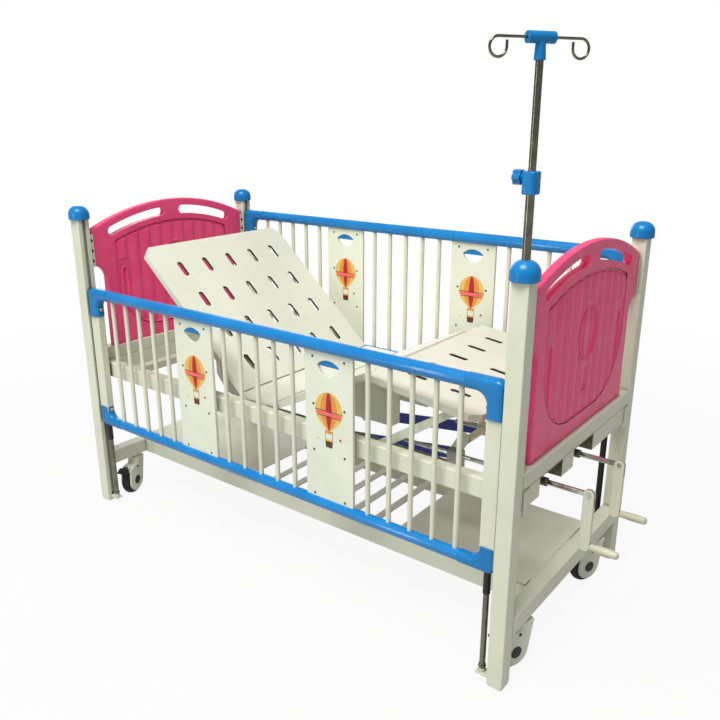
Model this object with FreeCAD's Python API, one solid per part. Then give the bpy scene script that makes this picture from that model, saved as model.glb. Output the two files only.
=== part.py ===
import FreeCAD, Part
import math
import os
from FreeCAD import Vector

# Pediatric hospital cot. Millimetres, +Z up, floor at z = 0.
# +X runs from the head end to the foot end, and +Y to the patient's left side.
# "right" parts lie on the -Y side, "left" parts on the +Y side.

# ---------------------------------------------------------------- driving dimensions
# Corner posts
post_centre_x = 943.0
post_centre_y = 437.0
post_side = 50.0
post_wall = 2.0
post_edge_round = 3.0
post_bottom = 20.0
post_top = 1232.0
groove_width = 14.0
groove_depth = 10.0
plug_drop = 12.0
plug_insert = 22.0
cap_diameter = 79.0
cap_overlap = 16.0
cap_fit = 0.1
cap_skirt = 22.0
cap_height = 52.0
cap_spigot = 18.0

# Deck frame and end frames
deck_frame_bottom = 576.0
deck_frame_height = 60.0
deck_beam_width = 40.0
upper_beam_height = 50.0
beam_wall = 2.0
end_plate_thickness = 4.0
end_plate_drop = 22.0
end_plate_margin = 2.0
lower_beam_bottom = 170.0
lower_beam_height = 58.0
lower_side_centre_y = 223.0

# Shelf
shelf_sheet = 3.0
shelf_half_width = 236.0
shelf_head_plate_end = -287.0
shelf_foot_plate_start = 417.0
shelf_corner_radius = 45.0
slat_count = 6
slat_width = 30.0

# End boards
board_thickness = 28.0
board_inset = 14.0
board_waist_half = 350.0
board_shoulder_half = 405.0
board_shoulder_drop = 234.0
board_step_radius = 55.0
board_above_post = 29.0
board_arch_radius = 941.0
board_corner_radius = 26.0
board_edge_round = 6.0
slot_below_edge = 48.0
slot_height = 36.0
slot_inner_y = 38.0
slot_outer_y = 326.0
field_depth = 6.0
field_border = 50.0
field_below_slot = 22.0
field_low_edge = 735.0
bracket_wall = 2.0
bracket_grip = 7.0
bracket_below_tip = 14.0

# Side rails, described in their lowered position
rail_bottom = 371.0
rail_top = 950.0
rail_travel = 225.0
top_tube_diameter = 42.0
bottom_tube_diameter = 38.0
rail_tube_wall = 1.5
bar_diameter = 16.0
bar_wall = 1.2
bar_pitch = 79.4
outer_bar_inset = 132.5
panel_centre_x = 314.0
panel_width = 192.0
panel_thickness = 10.0
hand_hole_width = 88.0
hand_hole_top = 886.0
hand_hole_bottom = 833.0
hand_hole_arch = 18.0
grip_depth = 21.0
grip_thickness = 5.0
rail_post_gap = 1.5
end_post_width = 48.0
end_post_depth = 30.0
corner_sleeve = 2.5
corner_arm = 118.0
corner_leg_top_length = 112.0
corner_leg_bottom_length = 82.0
corner_notch_radius = 34.0
corner_outer_radius = 24.0
corner_edge_round = 15.0
slide_block_height = 60.0
slide_block_above_leg = 20.0
slide_block_below_leg = 90.0
slide_clearance = 0.3
slide_engagement = 7.5

# Telescopic guides of the rails
guide_cylinder_diameter = 22.0
guide_rod_diameter = 18.0
guide_fit = 0.05
guide_eye_height = 52.0
guide_eye_diameter = 24.0
guide_neck = 70.0
guide_overlap = 40.0
guide_collar_height = 20.0

# Mattress deck, four sections
deck_surface = 657.0
deck_half_width = 364.0
deck_sheet = 1.5
deck_flange = 23.0
deck_corner_chamfer = 30.0
hinge_drop = 7.0
hinge_gap = 6.0
hinge_pin_diameter = 8.0
hinge_fit = 0.05
hinge_width = 22.0
hinge_y = 300.0
frame_y = 187.5
back_hinge_x = -152.0
back_length = 696.0
back_angle = 42.0
back_travel = 70.0
thigh_hinge_x = 16.0
thigh_length = 424.0
thigh_angle = 26.0
thigh_travel = 40.0
foot_length = 400.0
foot_slope = 7.4
stay_reach = 300.0
stay_drop = 25.0
stay_boss_x = 440.0
stay_boss_z = 606.0
stay_y = 343.0
stay_thickness = 6.0
stay_gap = 0.5
stay_pin = 10.0
stay_boss_pin = 10.0
stay_play = 5.0
slot_length = 70.0
slot_width = 23.0
slot_rim = 10.0
slot_columns = 5
slot_column_pitch = 125.0
back_slot_rows = [108.0, 265.0, 417.0, 570.0]
foot_slot_rows = [120.0, 277.0]
section_tube = 20.0
cross_member_height = 30.0
cross_member_width = 40.0
seat_member_inset = 90.0
head_rest_inset = 90.0
seat_member_width = 50.0

# Crank drives
crank_rise = 22.0
back_crank_y = -245.0
knee_crank_y = -5.0
crank_shaft_diameter = 16.0
crank_screw_diameter = 14.0
crank_screw_start = 40.0
crank_reach = 123.5
crank_throw = 160.0
crank_arm_width = 31.0
crank_arm_thickness = 14.0
crank_tongue = 7.4
crank_tongue_end = 8.0
crank_tongue_length = 34.0
crank_fork_depth = 33.0
crank_fork_play = 0.3
crank_bolt = 8.0
crank_bolt_head = 1.8
back_screw_end = 470.0
knee_screw_end = 520.0
back_nut_x = 640.0
back_tube_diameter = 25.0
drive_tube_wall = 2.0
drive_nut_length = 44.0
drive_nut_half = 18.0
knee_nut_ahead = 62.0
grip_length = 82.0
grip_diameter = 24.0
grip_dome = 9.0
grip_gap = 1.0
grip_spindle = 9.0
bearing_fit = 0.05
bearing_wall = 5.0
window_near = 58.0
window_far = 100.0
window_height = 58.0
window_fold = 2.0
drive_pin_diameter = 12.0
drive_pin_play = 4.5
back_lever_drop = 90.0
back_plate_reach = 330.0
knee_lever_drop = 183.0
knee_bar_y = 115.0
knee_bar_height = 41.0
knee_bar_slope = 7.2
knee_bar_thickness = 6.0
knee_bar_length = 540.0
knee_plate_low_edge = 565.0
lever_plate = 5.0

# Casters
caster_x = 943.0
caster_y = 288.0
wheel_diameter = 125.0
wheel_width = 32.0
caster_trail = 43.0
hood_wall = 7.0
hood_shell = 3.5
hood_clearance = 3.0
axle_diameter = 10.0
axle_fit = 0.05
stem_diameter = 12.0
stem_length = 40.0
hood_neck = 46.0
hood_head = 12.0
hood_hub_radius = 48.0
hood_edge_round = 4.0
stem_depth = 34.0
pedal_length = 33.0
pedal_width = 44.0
pedal_barrel = 12.0
pedal_clearance = 0.4
pedal_pin = 5.0
pedal_ear = 5.0
pedal_ear_y = 14.0

# Infusion pole on the foot right post
pole_outer = 22.0
pole_inner = 19.0
pole_fit = 0.05
pole_wall = 1.2
pole_outer_bottom = 900.0
pole_outer_top = 1451.0
pole_inner_bottom = 1185.0
pole_inner_top = 1721.0
clamp_width = 38.0
clamp_height = 54.0
clamp_corner = 11.0
clamp_rim = 4.0
knob_diameter = 37.0
knob_length = 20.0
knob_lobes = 6
knob_screw = 8.0
head_stem_length = 48.0
head_stem_diameter = 28.0
head_barrel_diameter = 27.0
head_barrel_length = 70.0
hook_rod_diameter = 6.5
hook_half_span = 107.0
hook_loop_radius = 21.5
hook_return = 14.0
hook_heading = 57.3

# ---------------------------------------------------------------- derived places
post_inner_x = post_centre_x - post_side / 2.0
post_outer_x = post_centre_x + post_side / 2.0
post_inner_y = post_centre_y - post_side / 2.0
deck_frame_top = deck_frame_bottom + deck_frame_height
upper_beam_top = deck_frame_top + upper_beam_height
lower_beam_top = lower_beam_bottom + lower_beam_height
beam_inner_y = post_inner_y - deck_beam_width
board_outer_x = post_outer_x - board_inset
board_apex = post_top + board_above_post
board_shoulder_height = board_apex - board_shoulder_drop
arch_centre_z = board_apex - board_arch_radius
crank_height = deck_frame_bottom + crank_rise
crank_pivot_x = post_outer_x + crank_reach
head_barrel_height = pole_inner_top + head_stem_length
rail_half_length = post_inner_x - rail_post_gap
end_post_outer_x = rail_half_length - corner_sleeve
end_post_centre_x = end_post_outer_x - end_post_width / 2.0
top_tube_z = rail_top - top_tube_diameter / 2.0
bottom_tube_z = rail_bottom + bottom_tube_diameter / 2.0
corner_seam_x = rail_half_length - corner_arm
hinge_z = deck_surface - hinge_drop
wheel_radius = wheel_diameter / 2.0
hood_height = lower_beam_bottom

os.makedirs("parts", exist_ok=True)


# ---------------------------------------------------------------- shape helpers
def save(node, solids):
    """Write one or more solids as one sub-part."""
    shape = solids if not isinstance(solids, list) else Part.makeCompound(solids)
    shape.exportStep("parts/" + node + ".step")


def block(x_range, y_range, z_range):
    """Box between two limits on each axis, in any order."""
    low = [min(x_range), min(y_range), min(z_range)]
    high = [max(x_range), max(y_range), max(z_range)]
    size = [high[i] - low[i] for i in range(3)]
    return Part.makeBox(size[0], size[1], size[2], Vector(*low))


def rod(start, direction, length, diameter):
    """Round bar from a start point."""
    return Part.makeCylinder(diameter / 2.0, length, Vector(*start), Vector(*direction))


def pipe(start, direction, length, diameter, wall):
    """Round tube with open ends."""
    outer = rod(start, direction, length, diameter)
    return outer.cut(rod(start, direction, length, diameter - 2.0 * wall))


def rounded_block(x_range, y_range, z_range, radius, axis):
    """Box whose four edges along the named axis are rounded."""
    box = block(x_range, y_range, z_range)
    along = {"x": "XLength", "y": "YLength", "z": "ZLength"}[axis]
    edges = [edge for edge in box.Edges if getattr(edge.BoundBox, along) > 0.1]
    return box.makeFillet(radius, edges)


def box_tube(x_range, y_range, z_range, wall, axis):
    """Rectangular tube with rounded outer edges, open at both ends along the named axis."""
    outer = rounded_block(x_range, y_range, z_range, 1.5 * wall, axis)
    inner = []
    for name, limits in zip("xyz", (x_range, y_range, z_range)):
        low = min(limits)
        high = max(limits)
        inner.append((low, high) if name == axis else (low + wall, high - wall))
    return outer.cut(block(*inner))


def closed_wire(edges):
    """Wire from edges given in any order."""
    return Part.Wire(Part.__sortEdges__(edges))


def line(start, end):
    return Part.LineSegment(Vector(*start), Vector(*end)).toShape()


def arc(start, middle, end):
    return Part.Arc(Vector(*start), Vector(*middle), Vector(*end)).toShape()


def rounded_polygon(points, radii, plane):
    """Face of a polygon with rounded corners.

    points are (a, b) pairs, radii one radius per corner, and plane maps (a, b) to a 3-D point.
    """
    count = len(points)
    starts = []
    ends = []
    mids = []
    for i in range(count):
        corner = Vector(points[i][0], points[i][1], 0.0)
        before = Vector(points[i - 1][0], points[i - 1][1], 0.0).sub(corner)
        after = Vector(points[(i + 1) % count][0], points[(i + 1) % count][1], 0.0).sub(corner)
        before.normalize()
        after.normalize()
        half = before.getAngle(after) / 2.0
        reach = radii[i] / math.tan(half)
        bisector = before.add(after)
        bisector.normalize()
        depth = radii[i] / math.sin(half) - radii[i]
        starts.append(corner.add(before.multiply(reach)))
        ends.append(corner.add(after.multiply(reach)))
        mids.append(corner.add(bisector.multiply(depth)))
    edges = []
    for i in range(count):
        a = plane(starts[i].x, starts[i].y)
        b = plane(mids[i].x, mids[i].y)
        c = plane(ends[i].x, ends[i].y)
        if radii[i] > 0.0:
            edges.append(arc(a, b, c))
        following = starts[(i + 1) % count]
        d = plane(following.x, following.y)
        if (Vector(*c).sub(Vector(*d))).Length > 0.001:
            edges.append(line(c, d))
    return Part.Face(closed_wire(edges))


def plate_xz(points, radii, y_low, y_high):
    """Plate standing in the XZ plane between two Y limits."""
    face = rounded_polygon(points, radii, lambda a, b: (a, y_low, b))
    return face.extrude(Vector(0.0, y_high - y_low, 0.0))


def side_range(side, near, far):
    """Y limits of a piece between two distances from the middle, on one side."""
    return sorted((side * near, side * far))


def mirrored(shape, normal):
    return shape.mirror(Vector(0.0, 0.0, 0.0), Vector(*normal))


def both_sides(shape):
    """A shape and its mirror image across the XZ plane."""
    return [shape, mirrored(shape, (0.0, 1.0, 0.0))]


def both_ends(shape):
    """A shape and its mirror image across the YZ plane."""
    return [shape, mirrored(shape, (1.0, 0.0, 0.0))]


def four_corners(shape):
    """A shape at the foot left corner, repeated at all four corners."""
    return [copy for side in both_sides(shape) for copy in both_ends(side)]


def turned_y(shape, pivot_x, pivot_z, angle):
    """Turn a shape about an axis along Y; a positive angle lifts its -X end."""
    result = shape.copy()
    result.rotate(Vector(pivot_x, 0.0, pivot_z), Vector(0.0, 1.0, 0.0), angle)
    return result


# ---------------------------------------------------------------- posts
def make_posts():
    """Square tubes, each with a guide groove down its face towards the rail."""
    x_range = (post_inner_x, post_outer_x)
    y_range = (post_inner_y, post_inner_y + post_side)
    z_range = (post_bottom, post_top)
    groove = block((post_inner_x, post_inner_x + groove_depth),
                   (post_centre_y - groove_width / 2.0, post_centre_y + groove_width / 2.0), z_range)
    bore = block((post_inner_x + groove_depth + post_wall, post_outer_x - post_wall),
                 (y_range[0] + post_wall, y_range[1] - post_wall), z_range)
    tube = rounded_block(x_range, y_range, z_range, post_edge_round, "z")
    save("posts", four_corners(tube.cut(groove).cut(bore)))


def make_post_plugs():
    """Moulded feet with a domed underside, pushed into the posts."""
    head = block((post_inner_x, post_outer_x), (post_inner_y, post_inner_y + post_side),
                 (post_bottom - plug_drop, post_bottom))
    outer_edges = [edge for edge in head.Edges if edge.BoundBox.ZMin < post_bottom - 0.1]
    head = head.makeFillet(plug_drop * 0.7, outer_edges)
    insert = block((post_inner_x + groove_depth + post_wall, post_outer_x - post_wall),
                   (post_inner_y + post_wall, post_inner_y + post_side - post_wall),
                   (post_bottom, post_bottom + plug_insert))
    save("post_plugs", four_corners(head.fuse(insert).removeSplitter()))


def make_post_caps():
    """Mushroom caps: a rolled skirt round the post's end, a low dome and a square spigot."""
    radius = cap_diameter / 2.0
    bottom = post_top - cap_overlap
    shoulder = bottom + cap_skirt
    top = bottom + cap_height
    lip = 3.0
    crown = 3.0
    edges = [
        line((0.0, 0.0, bottom), (radius - lip, 0.0, bottom)),
        arc((radius - lip, 0.0, bottom), (radius - lip * 0.29, 0.0, bottom + lip * 0.29),
            (radius, 0.0, bottom + lip)),
        line((radius, 0.0, bottom + lip), (radius, 0.0, shoulder)),
        arc((radius, 0.0, shoulder), (radius * 0.78, 0.0, shoulder + (top - shoulder) * 0.66),
            (crown, 0.0, top)),
        line((crown, 0.0, top), (0.0, 0.0, top)),
        line((0.0, 0.0, top), (0.0, 0.0, bottom)),
    ]
    dome = Part.Face(closed_wire(edges)).revolve(Vector(0, 0, 0), Vector(0, 0, 1), 360.0)
    dome.translate(Vector(post_centre_x, post_centre_y, 0.0))
    spigot = block((post_inner_x + groove_depth + post_wall, post_outer_x - post_wall),
                   (post_inner_y + post_wall, post_inner_y + post_side - post_wall),
                   (post_top - cap_spigot, post_top))
    pocket = rounded_block((post_inner_x - cap_fit, post_outer_x + cap_fit),
                           (post_inner_y - cap_fit, post_inner_y + post_side + cap_fit),
                           (bottom - 1.0, post_top), post_edge_round, "z")
    cap = dome.cut(pocket).fuse(spigot).removeSplitter()
    caps = four_corners(cap)
    pole = rod((post_centre_x, -post_centre_y, pole_outer_bottom), (0, 0, 1),
               pole_outer_top - pole_outer_bottom, pole_outer)
    save("post_caps", [item.cut(pole) for item in caps])


# ---------------------------------------------------------------- fixed frame
def make_end_beams():
    upper = box_tube((post_inner_x, post_outer_x), (-post_inner_y, post_inner_y),
                     (deck_frame_top, upper_beam_top), beam_wall, "y")
    save("upper_crossbeams", both_ends(upper))
    head = box_tube((-post_inner_x, -post_outer_x), (-beam_inner_y, beam_inner_y),
                    (deck_frame_bottom, deck_frame_top), beam_wall, "y")
    foot = mirrored(head, (1.0, 0.0, 0.0))
    for y in (back_crank_y, knee_crank_y):
        foot = foot.cut(crank_window(y))
        foot = foot.cut(rod((post_inner_x - 1.0, y, crank_height), (1, 0, 0), beam_wall + 2.0,
                            crank_shaft_diameter + 2.0))
    side = box_tube((-post_outer_x, post_outer_x), (beam_inner_y, post_inner_y),
                    (deck_frame_bottom, deck_frame_top), beam_wall, "x")
    end_plate = block((post_outer_x, post_outer_x + end_plate_thickness),
                      (beam_inner_y + end_plate_margin, post_inner_y - end_plate_margin),
                      (deck_frame_bottom - end_plate_drop, deck_frame_top - end_plate_margin))
    low_corners = [edge for edge in end_plate.Edges if edge.BoundBox.XLength > 0.1
                   and edge.BoundBox.ZMax < deck_frame_bottom]
    end_plate = end_plate.makeFillet(end_plate_drop * 0.4, low_corners)
    save("deck_frame", both_sides(side) + [head, foot] + four_corners(end_plate))


def crank_window(y):
    """Notch in the foot beam's outer and bottom walls that a crank shaft leaves through."""
    return block((post_inner_x + beam_wall, post_outer_x + 1.0), (y - window_near, y + window_far),
                 (deck_frame_bottom - 1.0, deck_frame_bottom + window_height))


def make_lower_frame():
    cross = box_tube((post_inner_x, post_outer_x), (-post_inner_y, post_inner_y),
                     (lower_beam_bottom, lower_beam_top), beam_wall, "y")
    for side in (-1.0, 1.0):
        cross = cross.cut(rod((caster_x, side * caster_y, lower_beam_bottom - 1.0), (0, 0, 1),
                              beam_wall + 2.0, stem_diameter))
    half = deck_beam_width / 2.0 + 5.0
    side = box_tube((-post_inner_x, post_inner_x),
                    (lower_side_centre_y - half, lower_side_centre_y + half),
                    (lower_beam_bottom, lower_beam_top), beam_wall, "x")
    save("lower_frame", both_ends(cross) + both_sides(side))


def make_shelf():
    """Two plates and a row of slats that rest on the lower side beams."""
    bottom = lower_beam_top
    top = bottom + shelf_sheet
    radius = shelf_corner_radius
    foot_points = [(shelf_foot_plate_start, -shelf_half_width), (post_inner_x, -shelf_half_width),
                   (post_inner_x, shelf_half_width), (shelf_foot_plate_start, shelf_half_width)]
    head_points = [(-post_inner_x, -shelf_half_width), (shelf_head_plate_end, -shelf_half_width),
                   (shelf_head_plate_end, shelf_half_width), (-post_inner_x, shelf_half_width)]
    foot = rounded_polygon(foot_points, [radius, 0.0, 0.0, radius], lambda a, b: (a, b, bottom))
    head = rounded_polygon(head_points, [0.0, radius, radius, 0.0], lambda a, b: (a, b, bottom))
    solids = [face.extrude(Vector(0.0, 0.0, shelf_sheet)) for face in (foot, head)]
    pitch = (shelf_foot_plate_start - shelf_head_plate_end) / (slat_count + 1)
    for i in range(slat_count):
        centre = shelf_head_plate_end + pitch * (i + 1)
        solids.append(block((centre - slat_width / 2.0, centre + slat_width / 2.0),
                            (-shelf_half_width, shelf_half_width), (bottom, top)))
    save("shelf", solids)


# ---------------------------------------------------------------- end boards
def arch_height(radius, y):
    """Height of an arc about the boards' common centre."""
    return arch_centre_z + math.sqrt(radius * radius - y * y)


def board_outline(x):
    """Outline of an end board in the plane at x: waist, shoulders and arched top."""
    tip_height = arch_height(board_arch_radius, board_shoulder_half)
    edges = []
    diagonal = board_step_radius * (1.0 - math.sqrt(0.5))
    for side in (-1.0, 1.0):
        waist = side * board_waist_half
        tip = side * board_shoulder_half
        step_low = (x, waist, board_shoulder_height - board_step_radius)
        step_high = (x, tip, board_shoulder_height)
        step_mid = (x, waist + side * diagonal, board_shoulder_height - diagonal)
        edges.append(line((x, waist, upper_beam_top), step_low))
        edges.append(arc(step_low, step_mid, step_high))
        edges.append(line(step_high, (x, tip, tip_height)))
    tip = board_shoulder_half
    edges.append(arc((x, -tip, tip_height), (x, 0.0, board_apex), (x, tip, tip_height)))
    edges.append(line((x, -board_waist_half, upper_beam_top), (x, board_waist_half, upper_beam_top)))
    return Part.Face(closed_wire(edges))


def arc_slot(x, depth, side):
    """Hand slot that follows the arch, with round ends."""
    middle = board_arch_radius - slot_below_edge
    half = slot_height / 2.0
    angles = [math.asin((slot_inner_y + half) / middle), math.asin((slot_outer_y - half) / middle)]

    def at(radius, angle):
        return (x, side * radius * math.sin(angle), arch_centre_z + radius * math.cos(angle))

    centre = sum(angles) / 2.0
    step = half / middle
    edges = [
        arc(at(middle + half, angles[0]), at(middle + half, centre), at(middle + half, angles[1])),
        arc(at(middle + half, angles[1]), at(middle, angles[1] + step), at(middle - half, angles[1])),
        arc(at(middle - half, angles[1]), at(middle - half, centre), at(middle - half, angles[0])),
        arc(at(middle - half, angles[0]), at(middle, angles[0] - step), at(middle + half, angles[0])),
    ]
    return Part.Face(closed_wire(edges)).extrude(Vector(depth, 0.0, 0.0))


def board_field(x, depth):
    """Recessed field under the slots, with big sweeps at its lower corners."""
    half = board_waist_half - field_border
    top_radius = board_arch_radius - slot_below_edge - slot_height / 2.0 - field_below_slot
    corner = arch_height(top_radius, half)
    bend = field_low_edge + half * 0.72
    flat = half * 0.30
    edges = [
        arc((x, -half, corner), (x, 0.0, arch_centre_z + top_radius), (x, half, corner)),
        line((x, -flat, field_low_edge), (x, flat, field_low_edge)),
    ]
    for side in (-1.0, 1.0):
        edges.append(line((x, side * half, corner), (x, side * half, bend)))
        middle = (x, side * (flat + (half - flat) * 0.72),
                  field_low_edge + (bend - field_low_edge) * 0.28)
        edges.append(arc((x, side * half, bend), middle, (x, side * flat, field_low_edge)))
    return Part.Face(closed_wire(edges)).extrude(Vector(depth, 0.0, 0.0))


def make_boards():
    inner_x = board_outer_x - board_thickness
    board = board_outline(inner_x).extrude(Vector(board_thickness, 0.0, 0.0))
    tips = [edge for edge in board.Edges if edge.BoundBox.XLength > 1.0
            and edge.BoundBox.ZMin > board_shoulder_height + 10.0]
    board = board.makeFillet(board_corner_radius, tips)
    rims = [edge for edge in board.Edges if edge.BoundBox.XLength < 0.01
            and edge.BoundBox.ZMin > board_shoulder_height + 5.0]
    rims += [edge for edge in board.Edges if edge.BoundBox.XLength < 0.01
             and edge.BoundBox.ZLength > 50.0 and edge.BoundBox.ZMax < board_shoulder_height + 5.0]
    board = board.makeFillet(board_edge_round, rims)
    for side in (-1.0, 1.0):
        board = board.cut(arc_slot(inner_x - 1.0, board_thickness + 2.0, side))
    board = board.cut(board_field(inner_x - 1.0, field_depth + 1.0))
    board = board.cut(board_field(board_outer_x - field_depth, field_depth + 1.0))
    save("footboard", board)
    save("headboard", mirrored(board, (1.0, 0.0, 0.0)))


def make_board_brackets():
    """Channels screwed to the posts, which hold the boards' shoulders."""
    z_range = (board_shoulder_height, arch_height(board_arch_radius, board_shoulder_half) - bracket_below_tip)
    channel = block((board_outer_x - board_thickness - bracket_wall, board_outer_x + bracket_wall),
                    (board_shoulder_half - bracket_grip, post_inner_y), z_range)
    mouth = block((board_outer_x - board_thickness, board_outer_x),
                  (board_shoulder_half - bracket_grip, board_shoulder_half), z_range)
    save("board_brackets", four_corners(channel.cut(mouth)))


# ---------------------------------------------------------------- side rails
def rail_tube_solid(z, diameter, half_length):
    return rod((-half_length, 0.0, z), (1, 0, 0), 2.0 * half_length, diameter)


def bar_places():
    """X of every upright bar: a group in the middle and one outside each panel."""
    places = [bar_pitch * i for i in range(-2, 3)]
    first = end_post_outer_x - outer_bar_inset
    for i in range(5):
        places.append(first - bar_pitch * i)
        places.append(-first + bar_pitch * i)
    return sorted(places)


def rail_corner(tube_z, tube_diameter, leg_length, upward):
    """Moulded elbow between the long tube and the end post, at the foot end."""
    half = tube_diameter / 2.0
    outer = tube_z - upward * half
    inner = tube_z + upward * half
    leg_end = outer + upward * leg_length
    leg_inner_x = end_post_outer_x - end_post_width - corner_sleeve
    points = [(corner_seam_x, outer), (rail_half_length, outer), (rail_half_length, leg_end),
              (leg_inner_x, leg_end), (leg_inner_x, inner), (corner_seam_x, inner)]
    radii = [0.0, corner_outer_radius, 0.0, 0.0, corner_notch_radius, 0.0]
    elbow = plate_xz(points, radii, -half, half)
    long_edges = []
    for edge in elbow.Edges:
        box = edge.BoundBox
        on_side = box.YLength < 0.01
        at_seam = box.XMax < corner_seam_x + 0.01
        at_leg_end = abs(box.ZMax - leg_end) < 0.01 and box.ZLength < 0.01
        if on_side and not at_seam and not at_leg_end:
            long_edges.append(edge)
    elbow = elbow.makeFillet(corner_edge_round, long_edges)
    spigot_bore = tube_diameter - 2.0 * rail_tube_wall
    spigot = rod((corner_seam_x - 30.0, 0.0, tube_z), (1, 0, 0), 32.0, spigot_bore)
    socket = block((end_post_outer_x - end_post_width, end_post_outer_x),
                   (-end_post_depth / 2.0, end_post_depth / 2.0), (tube_z, leg_end))
    return elbow.fuse(spigot).cut(socket)


def hand_hole(x, y_low, depth):
    """D-shaped hole: shallow arch on top, deep curve below."""
    half = hand_hole_width / 2.0
    side = hand_hole_top - hand_hole_arch
    edges = [
        arc((x - half, y_low, side), (x, y_low, hand_hole_top), (x + half, y_low, side)),
        arc((x + half, y_low, side), (x, y_low, hand_hole_bottom), (x - half, y_low, side)),
    ]
    return Part.Face(closed_wire(edges)).extrude(Vector(0.0, depth, 0.0))


def hand_grip(x):
    """Grip insert that fills the top of a hand hole, thinner than the panel."""
    insert = hand_hole(x, -grip_thickness / 2.0, grip_thickness)
    half = hand_hole_width / 2.0
    upper = block((x - half, x + half), (-grip_thickness, grip_thickness),
                  (hand_hole_top - grip_depth, hand_hole_top + 1.0))
    return insert.common(upper)


def make_rail(side_name, y, raised):
    """One side rail with its tubes, bars, panels, corner mouldings and slide blocks."""
    top_solid = rail_tube_solid(top_tube_z, top_tube_diameter, rail_half_length)
    bottom_solid = rail_tube_solid(bottom_tube_z, bottom_tube_diameter, rail_half_length)
    top_tube = pipe((-corner_seam_x, 0.0, top_tube_z), (1, 0, 0), 2.0 * corner_seam_x,
                    top_tube_diameter, rail_tube_wall)
    bottom_tube = pipe((-corner_seam_x, 0.0, bottom_tube_z), (1, 0, 0), 2.0 * corner_seam_x,
                       bottom_tube_diameter, rail_tube_wall)
    uprights = []
    for x in bar_places():
        bar = pipe((x, 0.0, bottom_tube_z), (0, 0, 1), top_tube_z - bottom_tube_z, bar_diameter,
                   bar_wall)
        uprights.append(bar.cut(top_solid).cut(bottom_solid))
    half_depth = end_post_depth / 2.0
    end_post = box_tube((end_post_outer_x - end_post_width, end_post_outer_x), (-half_depth, half_depth),
                        (bottom_tube_z, top_tube_z), rail_tube_wall, "z")
    uprights += both_ends(end_post)
    upper_corner = rail_corner(top_tube_z, top_tube_diameter, corner_leg_top_length, -1.0)
    lower_corner = rail_corner(bottom_tube_z, bottom_tube_diameter, corner_leg_bottom_length, 1.0)
    guide_hole = rod((end_post_centre_x, 0.0, rail_bottom - 1.0), (0, 0, 1),
                     bottom_tube_z - rail_bottom + 2.0, guide_cylinder_diameter + 2.0)
    lower_corner = lower_corner.cut(guide_hole)
    mouldings = both_ends(upper_corner) + both_ends(lower_corner)
    panels = []
    for x in (-panel_centre_x, panel_centre_x):
        plate = block((x - panel_width / 2.0, x + panel_width / 2.0),
                      (-panel_thickness / 2.0, panel_thickness / 2.0), (bottom_tube_z, top_tube_z))
        plate = plate.cut(top_solid).cut(bottom_solid)
        panels.append(plate.cut(hand_hole(x, -panel_thickness, 2.0 * panel_thickness)))
        mouldings.append(hand_grip(x))
    block_reach = rail_post_gap + corner_sleeve + slide_engagement
    half_block = groove_width / 2.0 - slide_clearance
    blocks = []
    for z in (rail_bottom + corner_leg_bottom_length + slide_block_above_leg,
              rail_top - corner_leg_top_length - slide_block_below_leg):
        shoe = block((end_post_outer_x, end_post_outer_x + block_reach), (-half_block, half_block),
                     (z, z + slide_block_height))
        blocks += both_ends(shoe)
    pieces = {"bars": uprights, "tubes": [top_tube, bottom_tube], "mouldings": mouldings,
              "panels": panels, "slide_blocks": blocks}
    for name, solids in pieces.items():
        placed = []
        for solid in solids:
            item = solid if y < 0.0 else mirrored(solid, (0.0, 1.0, 0.0))
            placed.append(item.translated(Vector(0.0, y, raised)))
        save("rail_" + side_name + "_" + name, placed)


def guide_eye(y):
    """Ball end of a guide, seated in the cup at the post's foot."""
    return Part.makeSphere(guide_eye_diameter / 2.0, Vector(end_post_centre_x, y, guide_eye_height))


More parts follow.
